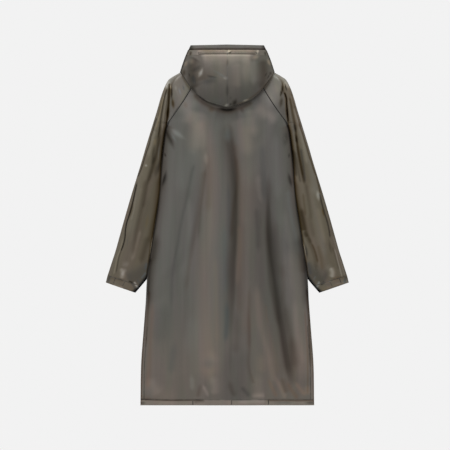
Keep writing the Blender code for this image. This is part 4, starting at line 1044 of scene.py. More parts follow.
@dataclass
class Body:
    """The back panel and the two fronts, with their hems and welds."""

    layers: LaidLayers
    finishes: Finishes

    # the cut: (y, half width) of the side seams, in millimetres, from hem to underarm
    side: tuple[Point, ...] = (
        (-648, 312.8), (-486, 309.7), (-378, 301.5), (-270, 293.5), (-187, 289), (-94, 276.5),
        (0, 261.5), (126, 243), (241, 235.5), (306, 228), (342, 222.6), (371, 213.5),
    )
    # (x, y) of the front neckline, in millimetres, from the centre to the raglan seam
    front_neck: tuple[Point, ...] = ((0, 455), (40, 460), (70, 473), (95, 496), (112, 527))
    hem_y: float = -647.5 * MM
    hem_depth: float = 19 * MM
    hem_step: float = 0.5 * MM
    underarm: Point = (213.5 * MM, 371 * MM)
    raglan_neck: Point = (112 * MM, 527 * MM)
    raglan_bow: float = 20 * MM  # four times how far the raglan seams bow in at their middle
    back_neck_dip: float = 12 * MM
    neck_reach: float = 60 * MM  # how far below the underarm the rows still follow the neckline
    overlap: float = 35 * MM

    # how it lies: (y, x) of the turned-in sleeve's inner edge under the body, in millimetres
    sleeve_edge: tuple[Point, ...] = (
        (-240.5, 332), (-221.5, 313), (-201, 296), (-174, 274), (-137, 244), (-90, 212),
        (-38, 184), (14, 164), (68, 152), (128, 150), (200, 160), (268, 180),
        (326, 206), (357, 218.8),
    )
    sleeve_shows_y: float = -193 * MM
    climb_margin: float = 42 * MM
    climb_length: float = 50 * MM
    closure_flat: float = 70 * MM
    closure_ramp: float = 60 * MM
    air: float = 7 * MM
    air_reach: float = 75 * MM
    hem_air: float = 1.2 * MM
    hem_air_length: float = 120 * MM
    raglan_lift: float = 3.5 * MM
    raglan_lift_length: float = 70 * MM
    pucker_height: float = 1.5 * MM  # of the folds that go on over the side seams, at most

    # its mesh
    columns: int = 184
    crowding: float = 0.35  # how much closer the back's columns lie at its sides
    front_columns: int = 60
    yoke_rows: int = 40
    skirt_rows: int = 192
    hem_rows: int = 22
    hem_rows_reach: float = 1.6  # the part in close rows, counted in hem depths

    # its tints, where a shade below 0 lightens
    hem_shade: float = -0.42
    hem_warmth: float = 0.3
    strip_shade: float = -0.10  # of the clearer strip outside each side weld, below strip_top
    strip_top: float = -300 * MM
    strip_fade: float = 100 * MM
    front_warmth: float = 0.2
    # (y, half width on the sleeve and on the body, depth) of the painted shade along the body's edge, in mm
    crevice_rows: tuple[tuple[float, ...], ...] = (
        (-182, 3.6, 3.6, 0.85), (-60, 4.6, 5.5, 0.8), (10, 5.6, 6, 0.8), (60, 5.4, 5.5, 0.84),
        (120, 5, 3.6, 0.74), (170, 6.4, 3.6, 0.8), (240, 8, 5, 0.95), (372, 6.4, 5, 0.95),
    )
    crevice_start: float = 12 * MM  # over which it starts, where the sleeve comes out
    crevice_end: float = 16 * MM  # over which it dies away at the underarm
    crevice_sharp: float = 2.4

    # its welds: each bead's width and height, and where they run
    raglan_bead: Size = (3.4 * MM, 0.5 * MM)
    hem_bead: Size = (3.2 * MM, 0.35 * MM)
    side_bead: Size = (2.4 * MM, 0.3 * MM)
    seam_inset: float = 12.5 * MM  # of the welded side seams, from the turned edge
    side_weld_top: float = -360 * MM
    hem_weld_x: float = 310 * MM
    hem_ticks: tuple[float, ...] = (-124 * MM, 15 * MM, 148 * MM)
    # (height, radians a metre) of the two waves with which the hem's weld wavers
    waver: tuple[tuple[float, float], ...] = ((0.4 * MM, 47.0), (0.3 * MM, 113.0))

    def half_width(self, y: Grid | float) -> Grid:
        """Measures half the body's width, to the raglan seam or, below the underarm, to the side seam.

        Args:
            y: Where to measure, in metres.

        Returns:
            The half width there.
        """
        table = np.array(self.side) * MM
        (under_x, under_y), (neck_x, neck_y) = self.underarm, self.raglan_neck
        up = (y - under_y) / (neck_y - under_y)
        raglan = between(under_x, neck_x, up) - self.raglan_bow * np.clip(up * (1.0 - up), 0.0, 1.0)
        return np.where(y > under_y, raglan, curve(table[:, 0], table[:, 1], y))

    def climb(self, x: Grid, y: Grid) -> Grid:
        """Tells where the turned-in sleeve lifts the cloth.

        Args:
            x: The panel's points across, in metres.
            y: The panel's points along, in metres.

        Returns:
            The share, from 0 to 1, of the sleeve's height at each point.
        """
        table = np.array(self.sleeve_edge) * MM
        top = table[-1, 0]
        edge = np.interp(np.clip(y, self.sleeve_shows_y, top), table[:, 0], table[:, 1])
        beside = np.maximum(0.0, edge - np.abs(x))
        beyond = np.maximum(0.0, y - top) + np.maximum(0.0, self.sleeve_shows_y - y)
        return 1.0 - smooth((np.hypot(beside, beyond) - self.climb_margin) / self.climb_length)

    def front_height(self, x: Grid, y: Grid, side: Side) -> Grid:
        """Returns the middle of a front, over the closure and the sleeve."""
        closure = self.layers.lift(side) * (1.0 - smooth((np.abs(x) - self.closure_flat) / self.closure_ramp))
        return self.layers.floor + closure + 2 * self.layers.step * self.climb(x, y)

    def back_height(self, x: Grid, y: Grid) -> Grid:
        """Finds the middle of the back: on the fronts at the seams and the hem, and off them between.

        Args:
            x: The points across, in metres.
            y: The points along, in metres.

        Returns:
            The heights.
        """
        inside = smooth((self.half_width(y) - np.abs(x)) / self.air_reach)
        above_hem = smooth((y - self.hem_y) / self.hem_air_length)
        raglan = self.raglan_lift * smooth((y - self.underarm[1]) / self.raglan_lift_length)
        folds = Relief.of(BACK_FOLDS, x, y).height
        laid = self.front_height(x, y, Side.RIGHT) + self.layers.step
        loose = self.hem_air * inside + np.maximum(self.air + folds, 0.0) * inside * above_hem
        edge_puckers = np.clip(folds, 0.0, self.pucker_height) * (1.0 - inside) * above_hem
        return laid + loose + edge_puckers + raglan * (1.0 - inside)

    def crevice_shade(self, x: Grid, y: Grid) -> Grid:
        """Paints shade along the crevice where the body's edge lies over the sleeves.

        Args:
            x: The points across, in metres.
            y: The points along, in metres.

        Returns:
            How much painted shade lies at each point.
        """
        table = np.array(self.crevice_rows).T
        off_edge = (np.abs(x) - self.half_width(y)) / MM
        outer, inner, depth = (curve(table[0], column, y / MM) for column in table[1:])
        reach = np.where(off_edge > 0, outer, inner)
        start = smooth((y - self.sleeve_shows_y) / self.crevice_start)
        end = smooth((self.underarm[1] + self.crevice_start - y) / self.crevice_end)
        return depth * start * end * np.exp(-((np.abs(off_edge) / reach) ** self.crevice_sharp))

    def back_face(self, x: Grid, y: Grid) -> Grid:
        """Returns points on the back's outer face, for what is welded to it."""
        return np.stack([x, y, self.back_height(x, y) + FILM_SHELL / 2], -1)

    def rows(self) -> Grid:
        """Spaces the panels' rows, close together over the hem.

        Returns:
            The rows' places at the side seams, from the neck down.
        """
        hem_start = self.hem_y + self.hem_rows_reach * self.hem_depth
        yoke = np.linspace(self.raglan_neck[1], self.underarm[1], self.yoke_rows)
        skirt = np.linspace(self.underarm[1], hem_start, self.skirt_rows)[1:]
        return np.concatenate([yoke, skirt, np.linspace(hem_start, self.hem_y, self.hem_rows)[1:]])

    def neck_share(self, rows: Grid) -> Grid:
        """Returns how much of the neckline's dip each row still follows."""
        drop = (self.raglan_neck[1] - rows) / (self.raglan_neck[1] - self.underarm[1] + self.neck_reach)
        return 1.0 - smooth(drop)

    def build_back(self) -> bpy.types.Object:
        """Makes the back panel.

        Returns:
            Its shell.
        """
        rows = self.rows()
        even = np.linspace(-1.0, 1.0, self.columns + 1)
        share = even * (1.0 + self.crowding - self.crowding * even**2)
        x = (self.half_width(rows) - self.layers.gap / 2)[:, None] * share[None, :]
        y = rows[:, None] - (self.back_neck_dip * (1.0 - share**2))[None, :] * self.neck_share(rows)[:, None]
        relief = Relief.of(BACK_FOLDS + BACK_TINTS, x, y)
        hem = on_hem(y - self.hem_y, self.hem_depth)
        strip = smooth((np.abs(x) - self.half_width(y) + self.seam_inset) / (2 * MM))
        relief.darken(self.hem_shade * hem)
        # painted shade along the crevice where the body's edge lies over the sleeves
        relief.darken(self.crevice_shade(x, y))
        relief.darken(self.strip_shade * strip * smooth((self.strip_top - y) / self.strip_fade))
        relief.warm += self.hem_warmth * hem
        z = self.back_height(x, y) + self.hem_step * hem
        return add_shell("back_shell", np.stack([x, y, z], 2), self.finishes.film, relief, "back_panel")

    def build_front(self, side: Side) -> bpy.types.Object:
        """Makes one front, which passes the other by the overlap.

        Args:
            side: Which one.

        Returns:
            Its shell.
        """
        rows = self.rows()[::2]
        share = np.linspace(0.0, 1.0, self.front_columns + 1)
        half = (self.half_width(rows) - self.layers.gap / 2)[:, None]
        x = side.value * between(half, -self.overlap, share[None, :])
        neck = np.array(self.front_neck) * MM
        drop = self.raglan_neck[1] - curve(neck[:, 0], neck[:, 1], np.abs(x[0]))
        y = rows[:, None] - drop[None, :] * self.neck_share(rows)[:, None]
        grid = np.stack([x, y, self.front_height(x, y, side)], 2)
        relief = Relief(np.zeros(x.shape), np.zeros(x.shape), np.full(x.shape, self.front_warmth))
        name, turned = side.word, 1 if side is Side.LEFT else None
        return add_shell(f"front_shell_{name}", grid, self.finishes.film, relief, f"front_{name}", turned)

    def build_welds(self) -> list[bpy.types.Object]:
        """Makes the raglan seams, the side seams and the hem's weld, with the ticks that cross the hem.

        Returns:
            The three welds.
        """
        yoke = np.linspace(self.raglan_neck[1], self.underarm[1] - 10 * MM, 64)
        raglan = [self.back_face(side.value * (self.half_width(yoke) - 0.6 * MM), yoke) for side in Side]
        weld_y = self.hem_y + self.hem_depth
        across = np.linspace(-self.hem_weld_x, self.hem_weld_x, 180)
        waver = sum(height * np.sin(across * rate) for height, rate in self.waver)
        hem = [self.back_face(across, weld_y + waver)]
        rise = np.linspace(self.hem_y + 2.5 * MM, weld_y, 8)
        for tick in self.hem_ticks:
            hem.append(self.back_face(np.full(rise.shape, tick), rise) + UP * self.hem_step)
        low = np.linspace(self.hem_y + 3 * MM, self.side_weld_top, 90)
        sides = [self.back_face(side.value * (self.half_width(low) - self.seam_inset), low) for side in Side]
        return [
            add_beads("raglan_welds", raglan, self.raglan_bead, self.finishes.seam),
            add_beads("hem_weld", hem, self.hem_bead, self.finishes.weld),
            add_beads("side_welds", sides, self.side_bead, self.finishes.weld),
        ]


@dataclass
class Sleeve:
    """One raglan sleeve, cut in one piece and turned in under the body."""

    side: Side
    body: Body

    # inner x, inner y, outer x, outer y, crease share, swell, fold radius: one row for each section, in mm
    sections: tuple[tuple[float, ...], ...] = (
        (112.4, 527.2, 172, 549, 0.90, 0, 1),
        (132.8, 495.8, 195, 536, 0.88, 0.6, 1.4),
        (150.4, 468.7, 213, 522, 0.80, 2, 1.8),
        (166.2, 444.4, 228, 493, 0.67, 4.5, 2.2),
        (182.6, 419.2, 240, 459, 0.50, 7, 2.5),
        (200, 392.4, 252, 417, 0.25, 8.5, 2.5),
        (213.9, 371.2, 264, 378, 0.06, 9, 2.5),
        (214.6, 364.5, 268, 365, 0.06, 9, 2.5),
        (206, 326, 280, 326, 0.06, 9.5, 2.5),
        (180, 268, 294, 280, 0.06, 10, 2.5),
        (160, 200, 309, 228, 0.06, 10.5, 2.5),
        (150, 128, 325, 176, 0.06, 11, 2.5),
        (152, 68, 340.5, 126, 0.06, 11.5, 2.5),
        (164, 14, 356.5, 72, 0.06, 12, 2.5),
        (184, -38, 372, 18, 0.06, 12, 2.5),
        (212, -90, 387, -36, 0.06, 12, 2.5),
        (244, -137, 402, -90, 0.06, 11, 2.5),
        (274, -174, 415, -130, 0.06, 10, 2.5),
        (295.5, -201, 425.5, -163, 0.06, 8.5, 2.4),
        (313, -221.5, 432, -183.5, 0.06, 7, 2.2),
        (331, -242.5, 437.4, -205.5, 0.06, 5.5, 2),
    )
    seam_sections: int = 6
    off_seam: float = 0.8  # sections over which the cloth comes off the raglan seam and down to the surface
    seam_gap: float = 0.4 * MM
    turn: float = 3.5 * MM
    side_clearance: float = 0.3 * MM
    crease_clearance: float = 0.6 * MM
    under_ramp: float = 40 * MM
    fullness: float = 0.8  # under 1 makes the arm's swell fuller at its sides
    hem_step: float = 0.4 * MM
    hem_depth: float = 25 * MM

    # its mesh
    rings: int = 250
    under_columns: int = 16
    fold_steps: int = 8
    full_columns: int = 90
    flat_columns: int = 14

    # its tints, where a shade below 0 lightens
    arm_warmth: float = 0.82
    tuck_warmth: float = 0.15  # of what shows between the arm's crease and the seam
    crevice_warmth: float = 1.5
    rim_shade: float = 0.12  # of the outer fold, where the film is seen edge on
    hem_shade: float = -0.1

    # its weld
    bead: Size = (2.6 * MM, 0.35 * MM)
    tick_columns: tuple[int, ...] = (20, 48)
    grid: Grid = field(init=False)

    @property
    def arm(self) -> slice:
        """Which columns are the arm's upper side."""
        first = self.under_columns + self.fold_steps - 1
        return slice(first, first + self.full_columns)

    def from_cuff(self, points: Grid) -> Grid:
        """Returns how far each row of points (x, y) starts from the last one, at the cuff's edge."""
        return np.linalg.norm(points[:, 0, :2] - points[-1, 0, :2], axis=1)

    def table_at(self, at: Grid) -> Grid:
        """Reads the sections' table between its rows.

        Args:
            at: Places along the sleeve, counted in rows of the table.

        Returns:
            One row of measures for each place, in metres but for the crease's share.
        """
        table = np.array(self.sections)
        number = np.arange(len(table), dtype=float)
        made = np.stack([curve(number, column, at) for column in table.T], 1)
        for i in (0, 1):
            made[:, i] = np.where(at <= self.seam_sections, np.interp(at, number, table[:, i]), made[:, i])
        made[:, [0, 1, 2, 3, 5, 6]] *= MM
        on_seam = self.body.half_width(np.minimum(made[:, 1], self.body.raglan_neck[1])) + self.seam_gap
        made[:, 0] = np.where(at <= self.seam_sections, on_seam, made[:, 0])
        return made

    def places(self) -> Grid:
        """Spaces the sections evenly along the outer fold.

        Returns:
            Their places, counted in rows of the table.
        """
        fine = np.linspace(0.0, len(self.sections) - 1.0, 2000)
        outer = self.table_at(fine)[:, 2:4]
        run = np.concatenate([[0.0], np.cumsum(np.hypot(*np.diff(outer, axis=0).T))])
        return np.interp(np.linspace(0.0, run[-1], self.rings), run, fine)

    def lay(self) -> Grid:
        """Lays the middle points of all sections: in on the surface, round the fold and back on top.

        Returns:
            The points, for the right side of the coat.
        """
        layers, body, sign = self.body.layers, self.body, self.side.value
        at = self.places()
        row = self.table_at(at)
        inner, outer, least, swell, radius = row[:, 0:2], row[:, 2:4], row[:, 4:5], row[:, 5:6], row[:, 6:7]
        width = np.linalg.norm(outer - inner, axis=1, keepdims=True)
        inward = (inner - outer) / width
        centre = outer + inward * (radius + layers.wall / 2)

        off_seam = smooth((at - self.seam_sections) / self.off_seam)[:, None]
        on_front = body.front_height(sign * inner[:, :1], inner[:, 1:], self.side)
        on_back = body.back_height(sign * inner[:, :1], np.minimum(inner[:, 1:], body.raglan_neck[1]))
        low = layers.floor + layers.step
        under = between(on_front, layers.floor, off_seam)
        over = between(on_back, low, off_seam)
        dip = between(np.maximum(on_back - self.turn, low + self.crease_clearance), low, off_seam)

        crease = least.copy()
        for _ in range(4):  # each pass looks up the body's edge at the crease found so far
            place = between(inner, centre, crease)
            edge = body.half_width(place[:, 1:]) + self.side_clearance
            needed = np.maximum(least, (edge - inner[:, :1]) / (centre[:, :1] - inner[:, :1]))
            crease = np.where(at[:, None] > self.seam_sections, needed, crease)
        beneath = between(under, layers.floor, smooth(crease * width / self.under_ramp))
        dip = np.maximum(dip, beneath + self.crease_clearance)

        laid = np.tile(np.linspace(0.0, 1.0, self.under_columns), (len(at), 1))
        fold, angle = turn_back(centre, inward, radius, self.fold_steps)
        up = np.linspace(1.0, 0.0, self.full_columns)[None, :]
        down = np.linspace(1.0, 0.0, self.flat_columns + 1)[None, 1:]
        arm = between(dip, layers.floor + 2 * radius, smooth(up))
        arm += swell * np.sin(np.pi * up) ** self.fullness
        places = [
            spread(inner, centre, laid), fold, spread(inner, centre, between(crease, 1.0, up)),
            spread(inner, centre, crease * down),
        ]
        heights = [
            between(under, layers.floor, smooth(laid * width / self.under_ramp)),
            layers.floor + radius * (1.0 - np.cos(angle)), arm, between(over, dip, smooth(down)),
        ]
        return join(places, heights)

    def build(self) -> bpy.types.Object:
        """Makes the sleeve's shell.

        Returns:
            The shell.
        """
        grid, arm, body = self.lay(), self.arm, self.body
        grid[:, :, 0] *= self.side.value
        x, y, z = grid[:, :, 0], grid[:, :, 1], grid[:, :, 2]
        relief = Relief.of(LEFT_FOLDS if self.side is Side.LEFT else RIGHT_FOLDS, x, y)
        mask = np.zeros(x.shape)
        mask[:, arm] = np.sin(np.pi * np.linspace(1.0, 0.0, self.full_columns)) ** 0.5
        folded = np.maximum(z + relief.height * mask, body.layers.floor + body.layers.step)
        cuff = on_hem(self.from_cuff(grid[:, arm]), self.hem_depth)[:, None] * (mask > 0)
        # painted shade along the crevice under the body's edge
        crevice_shade = body.crevice_shade(x, y) * (mask > 0)
        yoke = Relief.of(BACK_TINTS, x, y)

        column = np.arange(x.shape[1])
        upper, tucked = column >= self.under_columns, column >= arm.stop
        rim = upper & (column < arm.start + 2)
        relief.shade *= upper
        relief.warm = relief.warm * upper + np.where(tucked, self.tuck_warmth, self.arm_warmth)
        relief.warm += self.crevice_warmth * crevice_shade + yoke.warm * tucked
        for shade in (crevice_shade, yoke.shade * tucked, self.rim_shade * rim, self.hem_shade * cuff):
            relief.darken(shade)
        grid[:, :, 2] = np.where(mask > 0, folded, z) + self.hem_step * cuff
        self.grid = grid
        name, film = self.side.word, body.finishes.arm_film[self.side]
        turned = 0 if self.side is Side.RIGHT else None
        return add_shell(f"sleeve_shell_{name}", grid, film, relief, f"sleeve_{name}", turned)

    def build_welds(self) -> bpy.types.Object:
        """Makes the cuff hem's weld and the two ticks that cross the hem.

        Returns:
            The weld.
        """
        upper = self.grid[:, self.arm.start + 1 : self.arm.stop - 1] + UP * FILM_SHELL / 2
        ring = int(np.argmin(np.abs(self.from_cuff(upper) - self.hem_depth)))
        lines = [upper[ring]] + [upper[ring:-2, column] for column in self.tick_columns]
        return add_beads(f"cuff_weld_{self.side.word}", lines, self.bead, self.body.finishes.weld)


@dataclass
class Hood:
    """One half of the hood, thrown back: over the top, round its foot and back up to the neckline."""

    side: Side
    body: Body

    # (x, y) of the foot's outline, in millimetres, from the centre seam to the corner
    arc: tuple[Point, ...] = (
        (0, 423), (14, 426.5), (30, 431), (60, 440), (95, 457), (131, 494), (155, 529),
        (170, 550),
    )
    rim_x: float = 141.5 * MM
    rim_y: float = 631.2 * MM
    hem: float = 20 * MM
    hem_step: float = 0.4 * MM
    hem_edge: float = 1.4 * MM
    side_bulge: float = 2 * MM
    dome: float = 24 * MM
    dome_share: float = 0.75
    fullness: float = 0.8  # under 1 makes the dome fuller at its foot and rim
    rim_height: float = 10 * MM
    rim_share: float = 0.50
    fold_radius: float = 4.5 * MM
    corner_radius: float = 0.8 * MM
    fold_share: float = 0.25
    clearance: float = 1.2 * MM
    laid_share: float = 0.16
    nape_x: float = 160 * MM
    shoulder: Point = (171 * MM, 549 * MM)
    seam_gap: float = 0.6 * MM
    sleeve_tip_radius: float = 1.0 * MM

    # its mesh
    columns: int = 84
    hem_rows: int = 20
    hem_rows_reach: float = 1.3  # the part in close rows, counted in hem depths
    top_rows: int = 100
    nape_rows: int = 16
    fold_steps: int = 10

    # its tints, where a shade below 0 lightens
    warmth: float = 0.35
    hem_warmth: float = 0.5
    hem_shade: float = -0.75
    hem_end_share: float = 0.35  # how much of its brightness the hem keeps at its ends
    hem_bright_x: float = 114 * MM
    hem_bright_fade: float = 14 * MM

    # its welds: the strip behind the hem is stitched along both edges and closed at its end
    strip_x: float = 104 * MM
    strip_y: tuple[float, float] = (622.5 * MM, 615 * MM)
    stitch_start: float = 2 * MM
    stitch_pitch: float = 5.2 * MM
    stitch_length: float = 3.0 * MM
    bead: Size = (2.4 * MM, 0.35 * MM)
    centre_bead: Size = (2.2 * MM, 0.2 * MM)
    grid: Grid = field(init=False)

    @property
    def shown_rows(self) -> int:
        """How many rows lie on top, from the rim to the foot."""
        return self.hem_rows + self.top_rows - 1

    def nape_height(self, x: Grid, y: Grid, share: Grid) -> Grid:
        """Finds the middle of the hidden layer, which lies on the back and over the sleeve's tip.

        Args:
            x: The points across, for the right half, in metres.
            y: The points along, in metres.
            share: How far each is from the corner, as a share of the way to the centre seam.

        Returns:
            The heights.
        """
        body, layers = self.body, self.body.layers
        held_y = np.minimum(y, body.raglan_neck[1])
        held_x = self.side.value * np.minimum(x, body.half_width(held_y))
        on_back = body.back_height(held_x, held_y) + layers.step + self.clearance
        corner = layers.floor + 2 * self.sleeve_tip_radius + layers.step + self.clearance
        return between(corner, on_back, smooth(share / self.laid_share))

    def nape(self, x: Grid) -> Grid:
        """Draws the line where the hood joins the neckline and, past it, the sleeve.

        Args:
            x: Where it is wanted, in metres.

        Returns:
            Its points (x, y).
        """
        neck_x, neck_y = self.body.raglan_neck
        along = (x - neck_x) / (self.shoulder[0] - neck_x)
        centre_y = neck_y - self.body.back_neck_dip * (1.0 - (x / neck_x) ** 2)
        return np.stack([x, np.where(along > 0, between(neck_y, self.shoulder[1], along), centre_y)], 1)

    def build(self) -> bpy.types.Object:
        """Makes this half's shell.

        Returns:
            The shell.
        """
        body, layers = self.body, self.body.layers
        share = np.linspace(0.0, 1.0, self.columns + 1)
        middle = np.where(share == 1.0, self.seam_gap / 2, 0.0)
        arc = np.array(self.arc) * MM
        foot_x, rim_x, nape_x = (
            between(corner, 0.0, share) + middle for corner in (arc[-1, 0], self.rim_x, self.nape_x)
        )
        foot = np.stack([foot_x, curve(arc[:, 0], arc[:, 1], foot_x)], 1)
        rim = np.stack([rim_x, np.full(share.shape, self.rim_y)], 1)
        radius = between(self.corner_radius, self.fold_radius, smooth(share / self.fold_share))[:, None]
        length = np.linalg.norm(rim - foot, axis=1, keepdims=True)
        upward = (rim - foot) / length
        centre = foot + upward * (radius + layers.wall / 2)
        under = self.nape_height(centre[:, 0], centre[:, 1], share)[:, None]
        rim_z = between(layers.floor + layers.step, self.rim_height, smooth(share / self.rim_share))[:, None]

        fine = np.linspace(0.0, 1.0, self.hem_rows)[None, :] * self.hem_rows_reach * self.hem / length
        rest = between(fine[:, -1:], 1.0, np.linspace(0.0, 1.0, self.top_rows)[None, 1:])
        step = np.concatenate([fine, rest], 1)
        top = spread(rim, centre, step)
        top[:, :, 0] += self.side_bulge * np.sin(np.pi * step) * (1.0 - share[:, None]) ** 2
        swell = self.dome * np.sin(np.pi * step) ** self.fullness * smooth(share / self.dome_share)[:, None]
        turn, angle = turn_back(centre, upward, radius, self.fold_steps)
        laid = spread(centre, self.nape(nape_x), np.linspace(0.0, 1.0, self.nape_rows + 1)[None, :])
        heights = [
            between(rim_z, under + 2 * radius, step) + swell, under + radius * (1.0 + np.cos(angle)),
            self.nape_height(laid[:, :, 0], laid[:, :, 1], share[:, None]),
        ]
        grid = join([top, turn, laid], heights).transpose(1, 0, 2)
        grid[:, :, 0] *= self.side.value

        relief = Relief.of(HOOD_FOLDS, grid[:, :, 0], grid[:, :, 1])
        mask, hem = np.zeros(grid.shape[:2]), np.zeros(grid.shape[:2])
        mask[: self.shown_rows + self.fold_steps // 2] = 1.0
        hem[: self.shown_rows] = on_hem(step * length, self.hem, self.hem_edge).T
        grid[:, :, 2] += relief.height * mask + self.hem_step * hem
        off_end = (self.hem_bright_x - np.abs(grid[:, :, 0])) / self.hem_bright_fade
        bright = hem * between(self.hem_end_share, 1.0, smooth(off_end))
        relief.shade *= mask
        relief.warm = relief.warm * mask + self.warmth + self.hem_warmth * bright
        relief.darken(self.hem_shade * bright)
        self.grid = grid
        name, film = self.side.word, body.finishes.hood_film
        turned = 1 if self.side is Side.RIGHT else None
        return add_shell(f"hood_shell_{name}", grid, film, relief, f"hood_{name}", turned)

    def face(self, x: Grid, y: Grid) -> Grid:
        """Finds points on the hood's outer face above some places, for what is welded to it.

        Args:
            x: The places across, in metres.
            y: The places along, in metres.

        Returns:
            The points.
        """
        upper = self.grid[: self.shown_rows].reshape(-1, 3)
        found = []
        for px, py in zip(x, y):
            distance = np.hypot(upper[:, 0] - px, upper[:, 1] - py)
            near = np.argsort(distance)[:4]
            weight = 1.0 / (distance[near] + 0.1 * MM)
            found.append((px, py, float(upper[near, 2] @ weight / weight.sum()) + FILM_SHELL / 2))
        return np.array(found)

    def build_welds(self) -> bpy.types.Object:
        """Makes this half's stitch-like weld round the strip behind the hem, and its end tick.

        Returns:
            The weld.
        """
        sign = self.side.value
        lines = []
        for y in self.strip_y:
            for start in np.arange(self.stitch_start, self.strip_x, self.stitch_pitch):
                x = sign * np.linspace(start, start + self.stitch_length, 3)
                lines.append(self.face(x, np.full(3, y)))
        top_y, low_y = self.strip_y
        lines.append(self.face(np.full(6, sign * self.strip_x), np.linspace(low_y, top_y, 6)))
        return add_beads(f"hood_weld_{self.side.word}", lines, self.bead, self.body.finishes.weld)

    def build_centre_seam(self) -> bpy.types.Object:
        """Makes the weld that joins the halves, from the rim down over the foot.

        Returns:
            The weld.
        """
        line = self.grid[1 : self.shown_rows + 3, -1] + UP * FILM_SHELL / 2
        line[:, 0] = 0.0
        film = self.body.finishes.hood_film
        return add_beads("hood_centre_weld", [line], self.centre_bead, film, HOOD_FOLDS)


@dataclass
class Collar:
    """The hood's standing front, from the front neckline up to the far rim."""

    side: Side
    body: Body
    top_y: float = 648.4 * MM
    peak: float = 2.5 * MM
    top_x: float = 132 * MM
    gap: float = 0.75 * MM
    shoulder: Point = (171 * MM, 549 * MM)
    bulge: float = 3 * MM
    rows: int = 40
    shoulder_columns: int = 15
    neck_columns: int = 50

    # its tints: painted shadow from the hood's rim, lighter and greyer at the edge, darker at corner and peak
    shade: float = 0.5
    warmth: float = 1.0
    edge_shade: float = -0.85
    edge_warmth: float = -0.9
    edge_depth: float = 13 * MM
    edge_fade: float = 4 * MM
    corner_shade: float = 0.6
    corner_reach: float = 9 * MM
    peak_shade: float = 0.5
    peak_reach: float = 24 * MM

    def build(self) -> bpy.types.Object:
        """Makes this half's shell.

        Returns:
            The shell.
        """
        body, sign = self.body, self.side.value
        neck = np.array(body.front_neck) * MM
        near_x, near_y = (
            np.linspace(self.shoulder[i], body.raglan_neck[i], self.shoulder_columns + 1)[:-1] for i in (0, 1)
        )
        far = np.linspace(body.raglan_neck[0], -body.overlap, self.neck_columns)
        low_x = sign * np.concatenate([near_x, far])
        low_y = np.concatenate([near_y, curve(neck[:, 0], neck[:, 1], np.abs(far))]) + self.gap
        top_x = np.linspace(sign * self.top_x, -sign * body.overlap, len(low_x))
        top_y = self.top_y + self.peak * (1.0 - np.abs(top_x) / self.top_x)
        rise = np.linspace(0.0, 1.0, self.rows)[:, None]
        bulge = sign * self.bulge * np.sin(math.pi * rise) * np.linspace(1.0, 0.0, len(low_x))[None, :] ** 2
        x = between(top_x[None, :], low_x[None, :], rise) + bulge
        y = between(top_y[None, :], low_y[None, :], rise)
        edge = smooth((y - top_y[None, :] + self.edge_depth) / self.edge_fade)
        # painted shadow from the hood's rim, lifted to lighter along the top edge
        shade, warm = self.shade + self.edge_shade * edge, self.warmth + self.edge_warmth * edge
        relief = Relief(np.zeros(x.shape), shade, warm)
        at_corner = np.exp(-(((np.abs(x) - self.top_x) / self.corner_reach) ** 2))
        at_peak = np.exp(-((x / self.peak_reach) ** 2)) * smooth((y - self.top_y) / (2 * MM))
        relief.darken(self.corner_shade * at_corner + self.peak_shade * at_peak)
        grid = np.stack([x, y, body.front_height(x, y, self.side)], 2)
        name = f"collar_shell_{self.side.word}"
        return add_shell(name, grid, body.finishes.film, relief, f"collar_{self.side.word}")


@dataclass
class Studs:
    """The press studs that close the front. They lie under it, caps down."""

    finish: bpy.types.Material
    count: int = 8
    top_y: float = 590 * MM
    step: float = 135 * MM
    sides: int = 40
    # (radius, height) of the cap's profile, in millimetres, from its dished middle round to its back
    profile: tuple[Point, ...] = (
        (0.0, 0.35), (2.6, 0.30), (3.6, 0.05), (4.4, 0.0), (5.6, 0.12), (6.3, 0.5), (6.5, 1.0), (6.2, 1.6),
        (0.0, 1.6),
    )

    def faces(self) -> list[list[int]]:
        """Joins a cap's rings of points to each other and to its two middles.

        Returns:
            The faces, as numbers of points.
        """
        made = []
        rings = len(self.profile) - 2
        last = 1 + (rings - 1) * self.sides
        for i in range(self.sides):
            j = (i + 1) % self.sides
            made.append([0, 1 + j, 1 + i])
            for ring in range(rings - 1):
                a, b = 1 + ring * self.sides, 1 + (ring + 1) * self.sides
                made.append([a + i, a + j, b + j, b + i])
            made.append([last + i, last + j, last + self.sides])
        return made

    def build(self) -> None:
        """Makes each stud as a turned cap."""
        turn = 2 * math.pi * np.arange(self.sides) / self.sides
        faces = self.faces()
        (_, dish), *rings, (_, back) = self.profile
        for number in range(self.count):
            y = self.top_y - self.step * number
            points = [np.array([(0.0, y, dish * MM)])]
            for radius, height in rings:
                across, along = radius * MM * np.cos(turn), y + radius * MM * np.sin(turn)
                points.append(np.stack([across, along, np.full(self.sides, height * MM)], 1))
            points.append(np.array([(0.0, y, back * MM)]))
            name = f"press_stud_{number + 1}"
            add_piece(name, np.concatenate(points), faces, self.finish, f"snap_{number + 1}")


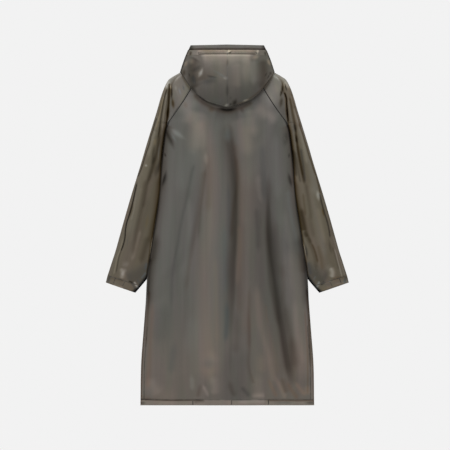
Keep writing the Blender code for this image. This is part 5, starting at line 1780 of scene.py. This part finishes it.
@dataclass
class Studio:
    """The board that the coat lies on, the light and the camera straight above."""

    board_size: float = 12.0
    board_drop: float = 0.2 * MM
    camera_x: float = -8.3 * MM
    camera_y: float = 1.4 * MM
    view_width: float = 1.62  # how much the camera takes in at the coat's height
    lens: float = 200.0
    sensor: float = 36.0
    sky: float = 0.48

    def build(self) -> None:
        """Makes the board, the lights and the camera."""
        half = self.board_size / 2
        mesh = bpy.data.meshes.new("board")
        corners = [(-half, -half, 0), (half, -half, 0), (half, half, 0), (-half, half, 0)]
        mesh.from_pydata(corners, [], [[0, 1, 2, 3]])
        mesh.materials.append(OpalAcrylic("opal_acrylic", "#f2f2f2").build())
        board = bpy.data.objects.new("board", mesh)
        board.location.z = -self.board_drop
        bpy.context.scene.collection.objects.link(board)
        self.add_sun("key", (-0.50, 0.62, 0.60), 2.1, 30)
        self.add_sun("fill", (0.30, -0.15, 0.94), 0.35, 90)
        world = bpy.data.worlds.new("studio")
        world.use_nodes = True
        backdrop = world.node_tree.nodes["Background"].inputs
        backdrop["Color"].default_value = (1.0, 1.0, 1.0, 1.0)
        backdrop["Strength"].default_value = self.sky
        bpy.context.scene.world = world
        camera = bpy.data.objects.new("camera", bpy.data.cameras.new("camera"))
        camera.data.lens = self.lens
        camera.data.sensor_width = self.sensor
        camera.location = (self.camera_x, self.camera_y, self.view_width * self.lens / self.sensor)
        bpy.context.scene.collection.objects.link(camera)
        bpy.context.scene.camera = camera
        bpy.context.scene.view_settings.view_transform = "Standard"

    def add_sun(self, name: str, toward: tuple[float, float, float], strength: float, width: float) -> None:
        """Adds one wide, even light.

        Args:
            name: The light's name.
            toward: The way from the coat to it.
            strength: Its power.
            width: How wide it is seen from the coat, in degrees.
        """
        light = bpy.data.lights.new(name, "SUN")
        light.energy = strength
        light.angle = math.radians(width)
        lamp = bpy.data.objects.new(name, light)
        lamp.rotation_euler = Vector(toward).to_track_quat("Z", "Y").to_euler()
        bpy.context.scene.collection.objects.link(lamp)


def main() -> None:
    """Builds the coat and its studio, in order."""
    logging.basicConfig(level=logging.INFO, format="%(name)s %(message)s")
    finishes = Finishes()
    body = Body(LaidLayers(), finishes)
    back = body.build_back()
    fronts = [body.build_front(side) for side in Side]
    welds = body.build_welds()
    for side in Side:
        sleeve = Sleeve(side, body)
        sleeve.build()
        sleeve.build_welds()
        hood = Hood(side, body)
        half = hood.build()
        trims = [hood.build_welds()]
        if side is Side.LEFT:
            trims.append(hood.build_centre_seam())
        Collar(side, body).build()
    Studs(finishes.stud).build()
    Studio().build()


if __name__ == "__main__":
    main()
